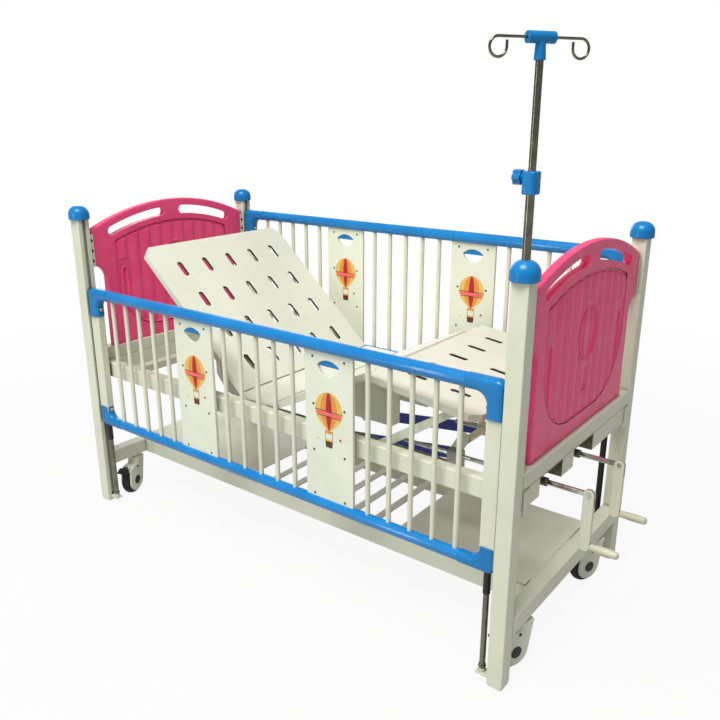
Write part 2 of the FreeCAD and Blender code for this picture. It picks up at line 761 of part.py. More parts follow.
def make_guides():
    """Right side: rods stand on the frame. Left side: cylinders stand on the frame."""
    axis = (0, 0, 1)
    bore = guide_rod_diameter + 2.0 * guide_fit
    eye_top = guide_eye_height
    collar_size = (end_post_width / 2.0 - rail_tube_wall, end_post_depth / 2.0 - rail_tube_wall)

    y = -post_centre_y
    mouth = rail_bottom - guide_neck
    rod_top = mouth + rail_travel + guide_overlap
    fixed_rod = rod((end_post_centre_x, y, eye_top), axis, rod_top - eye_top, guide_rod_diameter)
    save("guide_rods_right", both_ends(fixed_rod.fuse(guide_eye(y))))
    closed_end = rod_top + 15.0
    outer = rod((end_post_centre_x, y, mouth), axis, closed_end + 10.0 - mouth, guide_cylinder_diameter)
    inner = rod((end_post_centre_x, y, mouth - 1.0), axis, closed_end - mouth + 1.0, bore)
    collar = block((end_post_centre_x - collar_size[0], end_post_centre_x + collar_size[0]),
                   (y - collar_size[1], y + collar_size[1]), (closed_end + 10.0 - guide_collar_height,
                                                              closed_end + 10.0))
    save("rail_right_guides", both_ends(outer.fuse(collar).cut(inner)))

    y = post_centre_y
    raised_bottom = rail_bottom + rail_travel
    cylinder_top = raised_bottom - guide_neck * 0.6
    shell = rod((end_post_centre_x, y, eye_top), axis, cylinder_top - eye_top, guide_cylinder_diameter)
    hollow_start = cylinder_top - rail_travel - guide_overlap - 15.0
    hollow = rod((end_post_centre_x, y, hollow_start), axis, cylinder_top - hollow_start + 1.0, bore)
    save("guide_cylinders_left", both_ends(shell.fuse(guide_eye(y)).cut(hollow)))
    rod_low = cylinder_top - guide_overlap
    rod_high = cylinder_top + rail_travel + 15.0
    moving = rod((end_post_centre_x, y, rod_low), axis, rod_high - rod_low, guide_rod_diameter)
    collar = block((end_post_centre_x - collar_size[0], end_post_centre_x + collar_size[0]),
                   (y - collar_size[1], y + collar_size[1]), (rod_high, rod_high + guide_collar_height))
    save("rail_left_guides", both_ends(moving.fuse(collar)))

    seat = guide_eye_height - guide_eye_diameter / 2.0
    tray = block((end_post_centre_x - 15.0, post_inner_x), (post_centre_y - 15.0, post_centre_y + 15.0),
                 (seat - 12.0, seat - 6.0))
    cup = rod((end_post_centre_x, post_centre_y, seat - 6.0), axis, 12.0, 20.0)
    save("guide_brackets", four_corners(tray.fuse(cup).cut(guide_eye(post_centre_y))))


# ---------------------------------------------------------------- mattress deck
def slot_prism(x, y, margin, z_low, z_high):
    """Upright prism with round ends, larger than a slot by a margin all round."""
    radius = slot_width / 2.0 + margin
    half = slot_length / 2.0 + margin
    points = [(x - half, y - radius), (x + half, y - radius), (x + half, y + radius), (x - half, y + radius)]
    face = rounded_polygon(points, [radius * 0.98] * 4, lambda a, b: (a, b, z_low))
    return face.extrude(Vector(0.0, 0.0, z_high - z_low))


def deck_slots(start_rows, direction, centre_x):
    """Centres of the ventilation slots: rows along the section, columns across it."""
    span = (slot_columns - 1) / 2.0
    return [(centre_x + direction * distance, (column - span) * slot_column_pitch)
            for distance in start_rows for column in range(slot_columns)]


def deck_section(x_low, x_high, chamfered_low, chamfered_high, slots):
    """Pressed sheet with turned-down flanges and slot rims, and chamfered corners at its free end."""
    half = deck_half_width
    cut = deck_corner_chamfer

    def outline(inset):
        low = x_low + inset
        high = x_high - inset
        side = half - inset
        points = []
        if chamfered_low:
            points += [(low + cut, -side), (low, -side + cut), (low, side - cut), (low + cut, side)]
        else:
            points += [(low, -side), (low, side)]
        if chamfered_high:
            points += [(high - cut, side), (high, side - cut), (high, -side + cut), (high - cut, -side)]
        else:
            points += [(high, side), (high, -side)]
        return points

    def prism(inset, z_low, z_high):
        corners = [Vector(a, b, z_low) for a, b in outline(inset)]
        corners.append(corners[0])
        return Part.Face(Part.makePolygon(corners)).extrude(Vector(0.0, 0.0, z_high - z_low))

    tray = prism(0.0, deck_surface - deck_flange, deck_surface)
    tray = tray.cut(prism(deck_sheet, deck_surface - deck_flange - 1.0, deck_surface - deck_sheet))
    if slots:
        rims = [slot_prism(x, y, deck_sheet, deck_surface - slot_rim, deck_surface) for x, y in slots]
        holes = [slot_prism(x, y, 0.0, deck_surface - slot_rim - 1.0, deck_surface + 1.0) for x, y in slots]
        tray = tray.multiFuse(rims).cut(Part.makeCompound(holes)).removeSplitter()
    return tray


def hinge_knuckle(x, y, width, reach, extra):
    """Hinge eye on a bracket; reach runs along X from the pin to the section."""
    eye_radius = hinge_drop - deck_sheet
    eye = rod((x, y - width / 2.0, hinge_z), (0, 1, 0), width, 2.0 * eye_radius)
    strap = block((x, x + reach), (y - width / 2.0, y + width / 2.0),
                  (hinge_z + eye_radius - 5.0, hinge_z + eye_radius))
    bore = rod((x, y - width / 2.0 - 1.0, hinge_z), (0, 1, 0), width + 2.0,
               hinge_pin_diameter + 2.0 * extra)
    return eye.fuse(strap).cut(bore)


def knuckle_pair(x, y, width, fixed_reach, moving_reach):
    """Two fixed outer eyes and one moving middle eye on a pin along Y."""
    gap = 0.3
    fixed = []
    for side in (-1.0, 1.0):
        fixed.append(hinge_knuckle(x, y + side * (width + gap), width, fixed_reach, 0.0))
    moving = hinge_knuckle(x, y, width, moving_reach, hinge_fit)
    pin = rod((x, y - 1.5 * width - gap, hinge_z), (0, 1, 0), 3.0 * width + 2.0 * gap, hinge_pin_diameter)
    return fixed, moving, pin


def section_frame(x_low, x_high, y_half):
    """Two tubes along a section and, last, one across, under its sheet."""
    top = deck_surface - deck_sheet
    solids = []
    for side in (-1.0, 1.0):
        y = side * y_half
        solids.append(box_tube((x_low, x_high), (y - section_tube / 2.0, y + section_tube / 2.0),
                               (top - section_tube, top), deck_sheet, "x"))
    middle = (x_low + x_high) / 2.0
    inner = y_half - section_tube / 2.0
    solids.append(box_tube((middle - section_tube / 2.0, middle + section_tube / 2.0), (-inner, inner),
                           (top - section_tube, top), deck_sheet, "y"))
    return solids


def notched(sheet, eyes):
    """A sheet whose flanges are cut away round its hinge eyes, and those eyes."""
    for eye in eyes:
        sheet = sheet.cut(eye)
    return [sheet] + eyes


def make_back():
    """Back section with its frame, hinge eyes and the lever plates under it."""
    high = back_hinge_x - hinge_gap
    low = back_hinge_x - back_length
    sheet = deck_section(low, high, True, False, deck_slots(back_slot_rows, -1.0, back_hinge_x))
    eyes = []
    for side in (-1.0, 1.0):
        fixed, moving, pin = knuckle_pair(back_hinge_x, side * hinge_y, hinge_width, 14.0, -30.0)
        eyes.append(moving)
    solids = notched(sheet, eyes) + section_frame(low + 60.0, high - 12.0, frame_y)
    solids = [turned_y(solid, back_hinge_x, hinge_z, back_angle) for solid in solids]

    radians = math.radians(back_angle)

    def under(distance):
        """Point on the raised sheet's underside, at a distance from the hinge."""
        depth = hinge_drop - deck_sheet
        return (back_hinge_x - distance * math.cos(radians) + depth * math.sin(radians),
                hinge_z + distance * math.sin(radians) + depth * math.cos(radians))

    tilt = math.radians(back_angle - back_travel / 2.0)
    foot = back_lever_drop / math.cos(math.radians(back_travel / 2.0)) + drive_pin_diameter + 6.0
    tip = (back_hinge_x - foot * math.sin(tilt), hinge_z - foot * math.cos(tilt))
    width = drive_pin_diameter / 2.0 + drive_pin_play + 9.0
    near = under(34.0)
    far = under(back_plate_reach)
    low_edge = deck_frame_bottom + 6.0
    points = [near, (tip[0] + width, tip[1]), (tip[0] - width, tip[1]), (tip[0] - width, low_edge),
              (far[0] + 60.0, low_edge), (far[0], low_edge + 70.0), far]
    for y in (back_crank_y - 24.0, back_crank_y + 24.0 - lever_plate):
        plate = plate_xz(points, [0.0, 14.0, 14.0, 20.0, 60.0, 30.0, 0.0], y, y + lever_plate)
        solids.append(plate.cut(lever_slot(back_hinge_x, tilt, back_lever_drop, back_travel, y)))
    save("back_section", solids)


def lever_slot(pivot_x, tilt, drop, travel, y):
    """Slot along a lever that takes the straight-moving drive pin over the full travel."""
    half = drive_pin_diameter / 2.0 + drive_pin_play
    near = drop - half
    far = drop / math.cos(math.radians(travel / 2.0)) + half
    points = [(-half, -far), (half, -far), (half, -near), (-half, -near)]
    face = rounded_polygon(points, [half * 0.9] * 4, lambda a, b: (a, y - 1.0, b))
    slot = face.extrude(Vector(0.0, lever_plate + 2.0, 0.0))
    slot.rotate(Vector(0, 0, 0), Vector(0, 1, 0), math.degrees(tilt))
    slot.translate(Vector(pivot_x, 0.0, hinge_z))
    return slot


def make_seat():
    """Fixed seat section between the two hinges."""
    low = back_hinge_x + hinge_gap
    high = thigh_hinge_x - hinge_gap
    sheet = deck_section(low, high, False, False, [])
    for side in (-1.0, 1.0):
        for x, reach, moving_reach in ((back_hinge_x, 14.0, -30.0), (thigh_hinge_x, -14.0, 30.0)):
            fixed, moving, pin = knuckle_pair(x, side * hinge_y, hinge_width, reach, moving_reach)
            for eye in fixed:
                sheet = sheet.cut(eye)
    save("seat_section", sheet)


def make_thigh():
    """Thigh section with its frame, hinge eyes and the lever plates under it."""
    low = thigh_hinge_x + hinge_gap
    high = thigh_hinge_x + thigh_length - hinge_gap * 1.6
    crest = thigh_hinge_x + thigh_length
    eyes = []
    pins = []
    for side in (-1.0, 1.0):
        fixed, moving, pin = knuckle_pair(thigh_hinge_x, side * hinge_y, hinge_width, -14.0, 30.0)
        eyes.append(moving)
        fixed, moving, pin = knuckle_pair(crest, side * hinge_y, hinge_width, -34.0, 34.0)
        eyes += fixed
        pins.append(pin)
    solids = notched(deck_section(low, high, False, False, []), eyes) + pins
    frame = section_frame(low + 12.0, high - 14.0, frame_y)
    solids = [turned_y(solid, thigh_hinge_x, hinge_z, -thigh_angle) for solid in solids + frame]
    cross_tube = frame[-1].BoundBox
    notch = block((cross_tube.XMin, cross_tube.XMax), (cross_tube.YMin, cross_tube.YMax),
                  (cross_tube.ZMin, cross_tube.ZMax))
    notch = turned_y(notch, thigh_hinge_x, hinge_z, -thigh_angle)

    radians = math.radians(thigh_angle)

    def under(distance):
        depth = hinge_drop - deck_sheet
        return (thigh_hinge_x + distance * math.cos(radians) - depth * math.sin(radians),
                hinge_z + distance * math.sin(radians) + depth * math.cos(radians))

    tilt = -math.radians(thigh_angle - thigh_travel / 2.0)
    foot = knee_lever_drop / math.cos(math.radians(thigh_travel / 2.0)) + drive_pin_diameter + 8.0
    tip = (thigh_hinge_x - foot * math.sin(tilt), hinge_z - foot * math.cos(tilt))
    width = drive_pin_diameter / 2.0 + drive_pin_play + 9.0
    near = under(30.0)
    far = under(thigh_length - 40.0)
    low_edge = knee_plate_low_edge
    points = [near, far, (far[0], low_edge + 20.0), (far[0] - 30.0, low_edge),
              (tip[0] + width + 60.0, low_edge),
              (tip[0] + width, low_edge - 50.0), (tip[0] + width, tip[1]), (tip[0] - width, tip[1])]
    for side in (-1.0, 1.0):
        y = side * knee_bar_y - lever_plate / 2.0
        plate = plate_xz(points, [0.0, 0.0, 16.0, 16.0, 30.0, 30.0, 14.0, 14.0], y, y + lever_plate)
        plate = plate.cut(notch)
        solids.append(plate.cut(lever_slot(thigh_hinge_x, tilt, knee_lever_drop, thigh_travel, y)))
    save("thigh_section", solids)


def crest_point():
    """Axis of the hinge between thigh and foot sections, with the thigh raised."""
    radians = math.radians(thigh_angle)
    return (thigh_hinge_x + thigh_length * math.cos(radians), hinge_z + thigh_length * math.sin(radians))


def make_foot():
    """Foot section, sloping down from the crest towards the foot end."""
    crest = thigh_hinge_x + thigh_length
    low = crest + hinge_gap * 1.6
    high = crest + foot_length
    sheet = deck_section(low, high, False, True, deck_slots(foot_slot_rows, 1.0, crest))
    eyes = []
    for side in (-1.0, 1.0):
        fixed, moving, pin = knuckle_pair(crest, side * hinge_y, hinge_width, -34.0, 34.0)
        eyes.append(moving)
    solids = notched(sheet, eyes) + section_frame(low + 14.0, high - 60.0, frame_y)
    eye_x = crest + stay_reach
    eye_z = hinge_z - stay_drop
    top = deck_surface - deck_sheet
    lug_face = stay_y - stay_thickness / 2.0 - stay_gap
    for side in (-1.0, 1.0):
        low_y, high_y = side_range(side, lug_face - lever_plate, lug_face)
        points = [(eye_x - 26.0, top), (eye_x + 26.0, top),
                  (eye_x + 11.0, eye_z - 11.0), (eye_x - 11.0, eye_z - 11.0)]
        lug = plate_xz(points, [0.0, 0.0, 10.0, 10.0], low_y, high_y)
        pin = rod((eye_x, side * (lug_face - lever_plate), eye_z), (0, side, 0),
                  lever_plate + stay_gap + stay_thickness, stay_pin)
        solids.append(lug.fuse(pin))
    place = crest_point()
    moved = [onto_foot_slope(solid, crest, place) for solid in solids]
    save("foot_section", moved)


def onto_foot_slope(shape, crest, place):
    """Carry a shape from the flat deck to the foot section's resting place."""
    item = shape.translated(Vector(place[0] - crest, 0.0, place[1] - hinge_z))
    return turned_y(item, place[0], place[1], foot_slope)


def stay_eye():
    """Axis of the stays' upper pins, on the foot section at rest."""
    crest = crest_point()
    slope = math.radians(foot_slope)
    return (crest[0] + stay_reach * math.cos(slope) - stay_drop * math.sin(slope),
            crest[1] - stay_reach * math.sin(slope) - stay_drop * math.cos(slope))


def make_stays():
    """Bars that hold the foot section up from bosses on the deck beams."""
    top = stay_eye()
    run = top[0] - stay_boss_x
    rise = top[1] - stay_boss_z
    length = math.hypot(run, rise)
    angle = math.degrees(math.atan2(rise, run))
    low_half = stay_boss_pin / 2.0 + stay_play + 5.0
    high_half = stay_pin / 2.0 + 7.0
    stays = []
    bosses = []
    for side in (-1.0, 1.0):
        low_y = side * stay_y - stay_thickness / 2.0
        points = [(-low_half, -low_half), (length + high_half, -high_half),
                  (length + high_half, high_half), (-low_half, low_half)]
        bar = plate_xz(points, [low_half * 0.9, high_half * 0.9, high_half * 0.9, low_half * 0.9],
                       low_y, low_y + stay_thickness)
        low_hole = rod((0.0, low_y - 1.0, 0.0), (0, 1, 0), stay_thickness + 2.0,
                       stay_boss_pin + 2.0 * stay_play)
        high_hole = rod((length, low_y - 1.0, 0.0), (0, 1, 0), stay_thickness + 2.0,
                        stay_pin + 2.0 * hinge_fit)
        bar = bar.cut(low_hole).cut(high_hole)
        bar.rotate(Vector(0, 0, 0), Vector(0, 1, 0), -angle)
        bar.translate(Vector(stay_boss_x, 0.0, stay_boss_z))
        stays.append(bar)
        wall = side * beam_inner_y
        face = side * (stay_y + stay_thickness / 2.0 + stay_gap)
        boss = rod((stay_boss_x, wall, stay_boss_z), (0, -side, 0), abs(wall - face),
                   stay_boss_pin + 14.0)
        pin = rod((stay_boss_x, wall, stay_boss_z), (0, -side, 0),
                  abs(wall - face) + stay_thickness + stay_gap, stay_boss_pin)
        bosses.append(boss.fuse(pin))
    save("foot_stays", stays)
    return bosses


def make_cross_members(bosses):
    """Tubes across the deck frame, with the fixed hinge eyes and pins and the stays' bosses."""
    top = deck_surface - deck_flange
    low = top - cross_member_height
    seat_x = back_hinge_x + seat_member_inset
    solids = [box_tube((seat_x - seat_member_width / 2.0, seat_x + seat_member_width / 2.0),
                       (-beam_inner_y, beam_inner_y), (low, top), beam_wall, "y")]
    rest_x = back_hinge_x - back_length + head_rest_inset
    solids.append(box_tube((rest_x - cross_member_width / 2.0, rest_x + cross_member_width / 2.0),
                           (-beam_inner_y, beam_inner_y), (low - 2.0, top - 2.0), beam_wall, "y"))
    for side in (-1.0, 1.0):
        for x, reach, moving_reach in ((back_hinge_x, 14.0, -30.0), (thigh_hinge_x, -14.0, 30.0)):
            fixed, moving, pin = knuckle_pair(x, side * hinge_y, hinge_width, reach, moving_reach)
            solids += fixed
            solids.append(pin)
    save("deck_cross_members", solids + bosses)


# ---------------------------------------------------------------- crank drives
def crank_shaft(y, screw_end):
    """Shaft through the foot beam: a screw at its inner end and a flat tongue at its outer end."""
    inner_end = post_inner_x - crank_screw_start
    outer_end = crank_pivot_x + crank_tongue_end
    shaft = rod((inner_end, y, crank_height), (1, 0, 0), outer_end - inner_end, crank_shaft_diameter)
    screw = rod((screw_end, y, crank_height), (1, 0, 0), inner_end - screw_end, crank_screw_diameter)
    for side in (-1.0, 1.0):
        near = side * crank_tongue / 2.0
        shaft = shaft.cut(block((crank_pivot_x - crank_tongue_length, outer_end + 1.0),
                                (y + near, y + side * crank_shaft_diameter),
                                (crank_height - crank_shaft_diameter, crank_height + crank_shaft_diameter)))
    return shaft.fuse(screw)


def crank_arm(y):
    """Arm with a fork at its top for the shaft's tongue, and a spindle for the grip at its foot."""
    half = crank_arm_width / 2.0
    grip_z = crank_height - crank_throw
    face = crank_pivot_x + half
    points = [(crank_pivot_x - half, crank_height + half), (face, crank_height + half),
              (face, grip_z - half), (crank_pivot_x - half, grip_z - half)]
    arm = plate_xz(points, [half * 0.96] * 4, y - crank_arm_thickness / 2.0, y + crank_arm_thickness / 2.0)
    gap = crank_tongue / 2.0 + crank_fork_play
    fork = block((crank_pivot_x - half - 1.0, face + 1.0), (y - gap, y + gap),
                 (crank_height - crank_fork_depth, crank_height + half + 1.0))
    hole = rod((crank_pivot_x, y - crank_arm_thickness, crank_height), (0, 1, 0),
               2.0 * crank_arm_thickness, crank_bolt + 2.0 * hinge_fit)
    spindle = rod((crank_pivot_x, y, grip_z), (1, 0, 0), half + grip_length - grip_dome, grip_spindle)
    return arm.cut(fork).cut(hole).fuse(spindle)


def crank_grip(y):
    """Swelling handle with a domed end, on a blind bore."""
    wide = grip_diameter / 2.0
    start_radius = wide * 0.80
    end_radius = wide * 0.92
    flat = 2.0
    profile = [
        line((0.0, 0.0, 0.0), (0.0, start_radius, 0.0)),
        arc((0.0, start_radius, 0.0), (grip_length * 0.45, wide, 0.0),
            (grip_length - grip_dome, end_radius, 0.0)),
        arc((grip_length - grip_dome, end_radius, 0.0),
            (grip_length - grip_dome * 0.29, end_radius * 0.75, 0.0), (grip_length, flat, 0.0)),
        line((grip_length, flat, 0.0), (grip_length, 0.0, 0.0)),
        line((grip_length, 0.0, 0.0), (0.0, 0.0, 0.0)),
    ]
    handle = Part.Face(closed_wire(profile)).revolve(Vector(0, 0, 0), Vector(1, 0, 0), 360.0)
    bore = rod((-1.0, 0.0, 0.0), (1, 0, 0), grip_length - grip_dome + 2.0,
               grip_spindle + 2.0 * bearing_fit)
    start = crank_pivot_x + crank_arm_width / 2.0 + grip_gap
    return handle.cut(bore).translated(Vector(start, y, crank_height - crank_throw))


def make_cranks():
    brackets = []
    drives = (("back", back_crank_y, back_screw_end), ("knee", knee_crank_y, knee_screw_end))
    for name, y, screw_end in drives:
        shaft = crank_shaft(y, screw_end)
        reach = crank_arm_thickness / 2.0 + crank_fork_play
        bolt = rod((crank_pivot_x, y - reach, crank_height), (0, 1, 0), 2.0 * reach, crank_bolt)
        hole = bolt.common(shaft)
        for side in (-1.0, 1.0):
            bolt = bolt.fuse(rod((crank_pivot_x, y + side * reach, crank_height), (0, side, 0),
                                 crank_bolt_head, 1.6 * crank_bolt))
        save("crank_shaft_" + name, [shaft.cut(hole), bolt])
        save("crank_arm_" + name, crank_arm(y))
        save("crank_grip_" + name, crank_grip(y))
        brackets.append(crank_bearing(y))
    save("crank_brackets", brackets)


def crank_bearing(y):
    """Folded bracket that lines the notch in the foot beam, with the shaft's bearing."""
    inner = post_inner_x + beam_wall
    outer = post_outer_x - beam_wall
    near = y - window_near
    far = y + window_far
    top = deck_frame_top - beam_wall
    shell = block((inner, outer), (near, far), (deck_frame_bottom, top))
    room = block((inner + window_fold, outer + 1.0), (near + window_fold, far - window_fold),
                 (deck_frame_bottom - 1.0, top - window_fold))
    boss = rod((inner, y, crank_height), (1, 0, 0), outer - inner,
               crank_shaft_diameter + 2.0 * bearing_wall)
    bore = rod((inner - 1.0, y, crank_height), (1, 0, 0), outer - inner + 2.0,
               crank_shaft_diameter + 2.0 * bearing_fit)
    return shell.cut(room).fuse(boss).cut(bore)


def make_back_drive():
    """Nut on the back screw, with the push tube and pin that move the back lever."""
    tilt = math.radians(back_angle - back_travel / 2.0)
    y = back_crank_y
    pin_x = back_hinge_x - back_lever_drop * math.tan(tilt)
    pin_z = hinge_z - back_lever_drop
    eye = drive_pin_diameter + 5.0
    tube = pipe((pin_x + eye, y, pin_z), (1, 0, 0), back_nut_x - pin_x - eye, back_tube_diameter,
                drive_tube_wall)
    plug = rod((pin_x + eye, y, pin_z), (1, 0, 0), back_tube_diameter,
               back_tube_diameter - 2.0 * drive_tube_wall)
    flat = block((pin_x - drive_pin_diameter, pin_x + eye + 4.0), (y - eye / 2.0, y + eye / 2.0),
                 (pin_z - drive_pin_diameter + 1.0, pin_z + drive_pin_diameter - 1.0))
    half_pin = 2.5 * drive_pin_diameter
    pin = rod((pin_x, y - half_pin, pin_z), (0, 1, 0), 2.0 * half_pin, drive_pin_diameter)
    nut_low = min(pin_z, crank_height) - drive_nut_half
    nut_high = max(pin_z, crank_height) + drive_nut_half
    nut = rounded_block((back_nut_x, back_nut_x + drive_nut_length), (y - drive_nut_half, y + drive_nut_half),
                        (nut_low, nut_high), 6.0, "x")
    bore = rod((back_nut_x - 1.0, y, crank_height), (1, 0, 0), drive_nut_length + 2.0,
               crank_screw_diameter + 2.0 * bearing_fit)
    save("back_drive", [tube.fuse(plug).fuse(flat).fuse(pin), nut.cut(bore)])


def make_knee_drive():
    """Nut, crosshead and the two flat bars that move the thigh levers."""
    tilt = -math.radians(thigh_angle - thigh_travel / 2.0)
    pin_x = thigh_hinge_x - knee_lever_drop * math.tan(tilt)
    pin_z = hinge_z - knee_lever_drop
    slope = math.radians(knee_bar_slope)
    length = knee_bar_length
    half = knee_bar_height / 2.0
    end_x = pin_x + length * math.cos(slope)
    end_z = pin_z + length * math.sin(slope)
    nut_x = end_x + knee_nut_ahead
    bars = []
    cheeks = []
    inner_y = knee_bar_y + lever_plate / 2.0 + 0.4
    span = inner_y + knee_bar_thickness
    cheek_half = knee_bar_height * 0.56
    for side in (-1.0, 1.0):
        low_y, high_y = side_range(side, inner_y, span)
        flat = plate_xz([(-half, -half), (length + half, -half), (length + half, half), (-half, half)],
                        [half * 0.95] * 4, low_y, high_y)
        flat.rotate(Vector(0, 0, 0), Vector(0, 1, 0), -knee_bar_slope)
        flat.translate(Vector(pin_x, 0.0, pin_z))
        pin = rod((pin_x, side * inner_y, pin_z), (0, -side, 0), lever_plate + 6.0, drive_pin_diameter)
        bars.append(flat.fuse(pin))
        low_y, high_y = side_range(side, span, span + lever_plate)
        points = [(end_x - cheek_half, end_z - cheek_half), (end_x + cheek_half, end_z - cheek_half),
                  (nut_x + cheek_half, crank_height + cheek_half),
                  (nut_x - cheek_half, crank_height + cheek_half)]
        cheeks.append(plate_xz(points, [cheek_half * 0.85] * 4, low_y, high_y))
    save("knee_bars", bars)
    yoke = pipe((nut_x, -span, crank_height), (0, 1, 0), 2.0 * span, back_tube_diameter, drive_tube_wall)
    nut = block((nut_x - drive_nut_length / 2.0, nut_x + drive_nut_length / 2.0),
                (knee_crank_y - drive_nut_half, knee_crank_y + drive_nut_half),
                (crank_height - drive_nut_half, crank_height + drive_nut_half))
    bore = rod((nut_x - drive_nut_length, knee_crank_y, crank_height), (1, 0, 0),
               2.0 * drive_nut_length, crank_screw_diameter + 2.0 * bearing_fit)
    save("knee_crosshead", [yoke.fuse(nut).cut(bore)] + cheeks)


# ---------------------------------------------------------------- casters
def caster_frame(shape, corner_x, corner_y, heading):
    """Turn a caster built about its stem, with its wheel towards local +X, and move it to its corner."""
    result = shape.copy()
    result.rotate(Vector(0, 0, 0), Vector(0, 0, 1), heading)
    result.translate(Vector(corner_x, corner_y, 0.0))
    return result


def round_point(centre, radius, angle):
    """Point on a circle in the XZ plane, as an (x, z) pair."""
    radians = math.radians(angle)
    return (centre[0] + radius * math.cos(radians), centre[1] + radius * math.sin(radians))


def caster_hood():
    """Two cheeks and a crown over the wheel, rising to a neck under the stem."""
    half = wheel_width / 2.0 + hood_clearance + hood_wall
    crown = wheel_radius + hood_clearance + hood_shell
    hub = (caster_trail, wheel_radius)
    top = hood_height - hood_head
    back = (-hood_neck / 2.0, top)
    shoulder = (hood_neck / 2.0, top)
    crown_start = round_point(hub, crown, 100.0)
    crown_end = round_point(hub, crown, 52.0)
    cheek_start = round_point(hub, hood_hub_radius, 15.0)
    cheek_end = round_point(hub, hood_hub_radius, 191.0)

    def at(point):
        return (point[0], -half, point[1])

    edges = [
        line(at(back), at(shoulder)),
        line(at(shoulder), at(crown_start)),
        arc(at(crown_start), at(round_point(hub, crown, 76.0)), at(crown_end)),
        line(at(crown_end), at(cheek_start)),
        arc(at(cheek_start), at(round_point(hub, hood_hub_radius, -90.0)), at(cheek_end)),
        line(at(cheek_end), at(back)),
    ]
    shell = Part.Face(closed_wire(edges)).extrude(Vector(0.0, 2.0 * half, 0.0))
    rims = [edge for edge in shell.Edges if edge.BoundBox.YLength < 0.01]
    shell = shell.makeFillet(hood_edge_round, rims)
    room = rod((hub[0], -half + hood_wall, hub[1]), (0, 1, 0), 2.0 * (half - hood_wall),
               2.0 * (wheel_radius + hood_clearance))
    head = rod((0.0, 0.0, top), (0, 0, 1), hood_head - 1.0, hood_neck * 0.8)
    axle = rod((hub[0], -half - 2.0, hub[1]), (0, 1, 0), 2.0 * half + 4.0, axle_diameter)
    stem_hole = rod((0.0, 0.0, hood_height - stem_depth), (0, 0, 1), stem_depth,
                    stem_diameter + 2.0 * axle_fit)
    body = shell.fuse(head).cut(room).cut(stem_hole)
    hinge = pedal_hinge()
    for side in (-1.0, 1.0):
        ear_y = side * pedal_ear_y - pedal_ear / 2.0
        ear = rod((hinge[0], ear_y, hinge[1]), (0, 1, 0), pedal_ear, pedal_barrel)
        web = plate_xz([(hinge[0] - pedal_barrel / 2.0, hinge[1]),
                        (hinge[0] + pedal_barrel / 2.0, hinge[1]),
                        round_point(hub, crown - 1.0, 54.0), round_point(hub, crown - 1.0, 68.0)],
                       [0.0] * 4, ear_y, ear_y + pedal_ear)
        body = body.fuse(ear).fuse(web)
    pin_half = pedal_ear_y + pedal_ear / 2.0
    pin = rod((hinge[0], -pin_half, hinge[1]), (0, 1, 0), 2.0 * pin_half, pedal_pin)
    return body.fuse(axle).fuse(pin).removeSplitter()


def pedal_hinge():
    """Axis of the brake pedal, just above the crown."""
    reach = wheel_radius + hood_clearance + hood_shell + pedal_barrel / 2.0 + pedal_clearance
    return round_point((caster_trail, wheel_radius), reach, 60.0)


def caster_wheel():
    """Tyre and disc in one, with a crowned tread and a recessed web."""
    half = wheel_width / 2.0
    rim = wheel_radius - 6.0
    profile = [
        line((0.0, -half, 0.0), (rim * 0.34, -half, 0.0)),
        line((rim * 0.34, -half, 0.0), (rim * 0.42, -half + 5.0, 0.0)),
        line((rim * 0.42, -half + 5.0, 0.0), (rim * 0.78, -half + 5.0, 0.0)),
        line((rim * 0.78, -half + 5.0, 0.0), (rim * 0.84, -half, 0.0)),
        line((rim * 0.84, -half, 0.0), (rim, -half, 0.0)),
        arc((rim, -half, 0.0), (wheel_radius, 0.0, 0.0), (rim, half, 0.0)),
        line((rim, half, 0.0), (rim * 0.84, half, 0.0)),
        line((rim * 0.84, half, 0.0), (rim * 0.78, half - 5.0, 0.0)),
        line((rim * 0.78, half - 5.0, 0.0), (rim * 0.42, half - 5.0, 0.0)),
        line((rim * 0.42, half - 5.0, 0.0), (rim * 0.34, half, 0.0)),
        line((rim * 0.34, half, 0.0), (0.0, half, 0.0)),
        line((0.0, half, 0.0), (0.0, -half, 0.0)),
    ]
    wheel = Part.Face(closed_wire(profile)).revolve(Vector(0, 0, 0), Vector(0, 1, 0), 360.0)
    wheel.translate(Vector(caster_trail, 0.0, wheel_radius))
    bore = rod((caster_trail, -half - 1.0, wheel_radius), (0, 1, 0), wheel_width + 2.0,
               axle_diameter + 2.0 * axle_fit)
    return wheel.cut(bore)


def caster_pedal():
    """Brake pedal: a barrel on its pin and a broad toe plate with a turned-up tip."""
    hinge = pedal_hinge()
    inner = pedal_ear_y - pedal_ear / 2.0 - 0.3
    barrel = rod((hinge[0], -inner, hinge[1]), (0, 1, 0), 2.0 * inner, pedal_barrel)
    start = hinge[0] + pedal_barrel * 0.3
    points = [(start, hinge[1] - 2.0), (hinge[0] + pedal_length, hinge[1] - 15.0),
              (hinge[0] + pedal_length + 5.0, hinge[1] - 7.0),
              (hinge[0] + pedal_length * 0.5, hinge[1] + 4.0),
              (start, hinge[1] + pedal_barrel / 2.0)]
    strap = plate_xz(points, [0.0, 4.0, 4.0, 20.0, 0.0], -inner, inner)
    toe_start = hinge[0] + pedal_barrel / 2.0 + 6.0
    keep = block((toe_start, toe_start + pedal_length), (-pedal_width / 2.0, pedal_width / 2.0),
                 (0.0, 2.0 * hinge[1]))
    toe = plate_xz(points, [0.0, 4.0, 4.0, 20.0, 0.0], -pedal_width / 2.0, pedal_width / 2.0).common(keep)
    bore = rod((hinge[0], -inner - 1.0, hinge[1]), (0, 1, 0), 2.0 * inner + 2.0, pedal_pin + 2.0 * hinge_fit)
    return barrel.fuse(strap).fuse(toe).cut(bore)


caster_headings = {"head_right": -69.0, "head_left": -80.0, "foot_right": -112.5, "foot_left": -112.5}


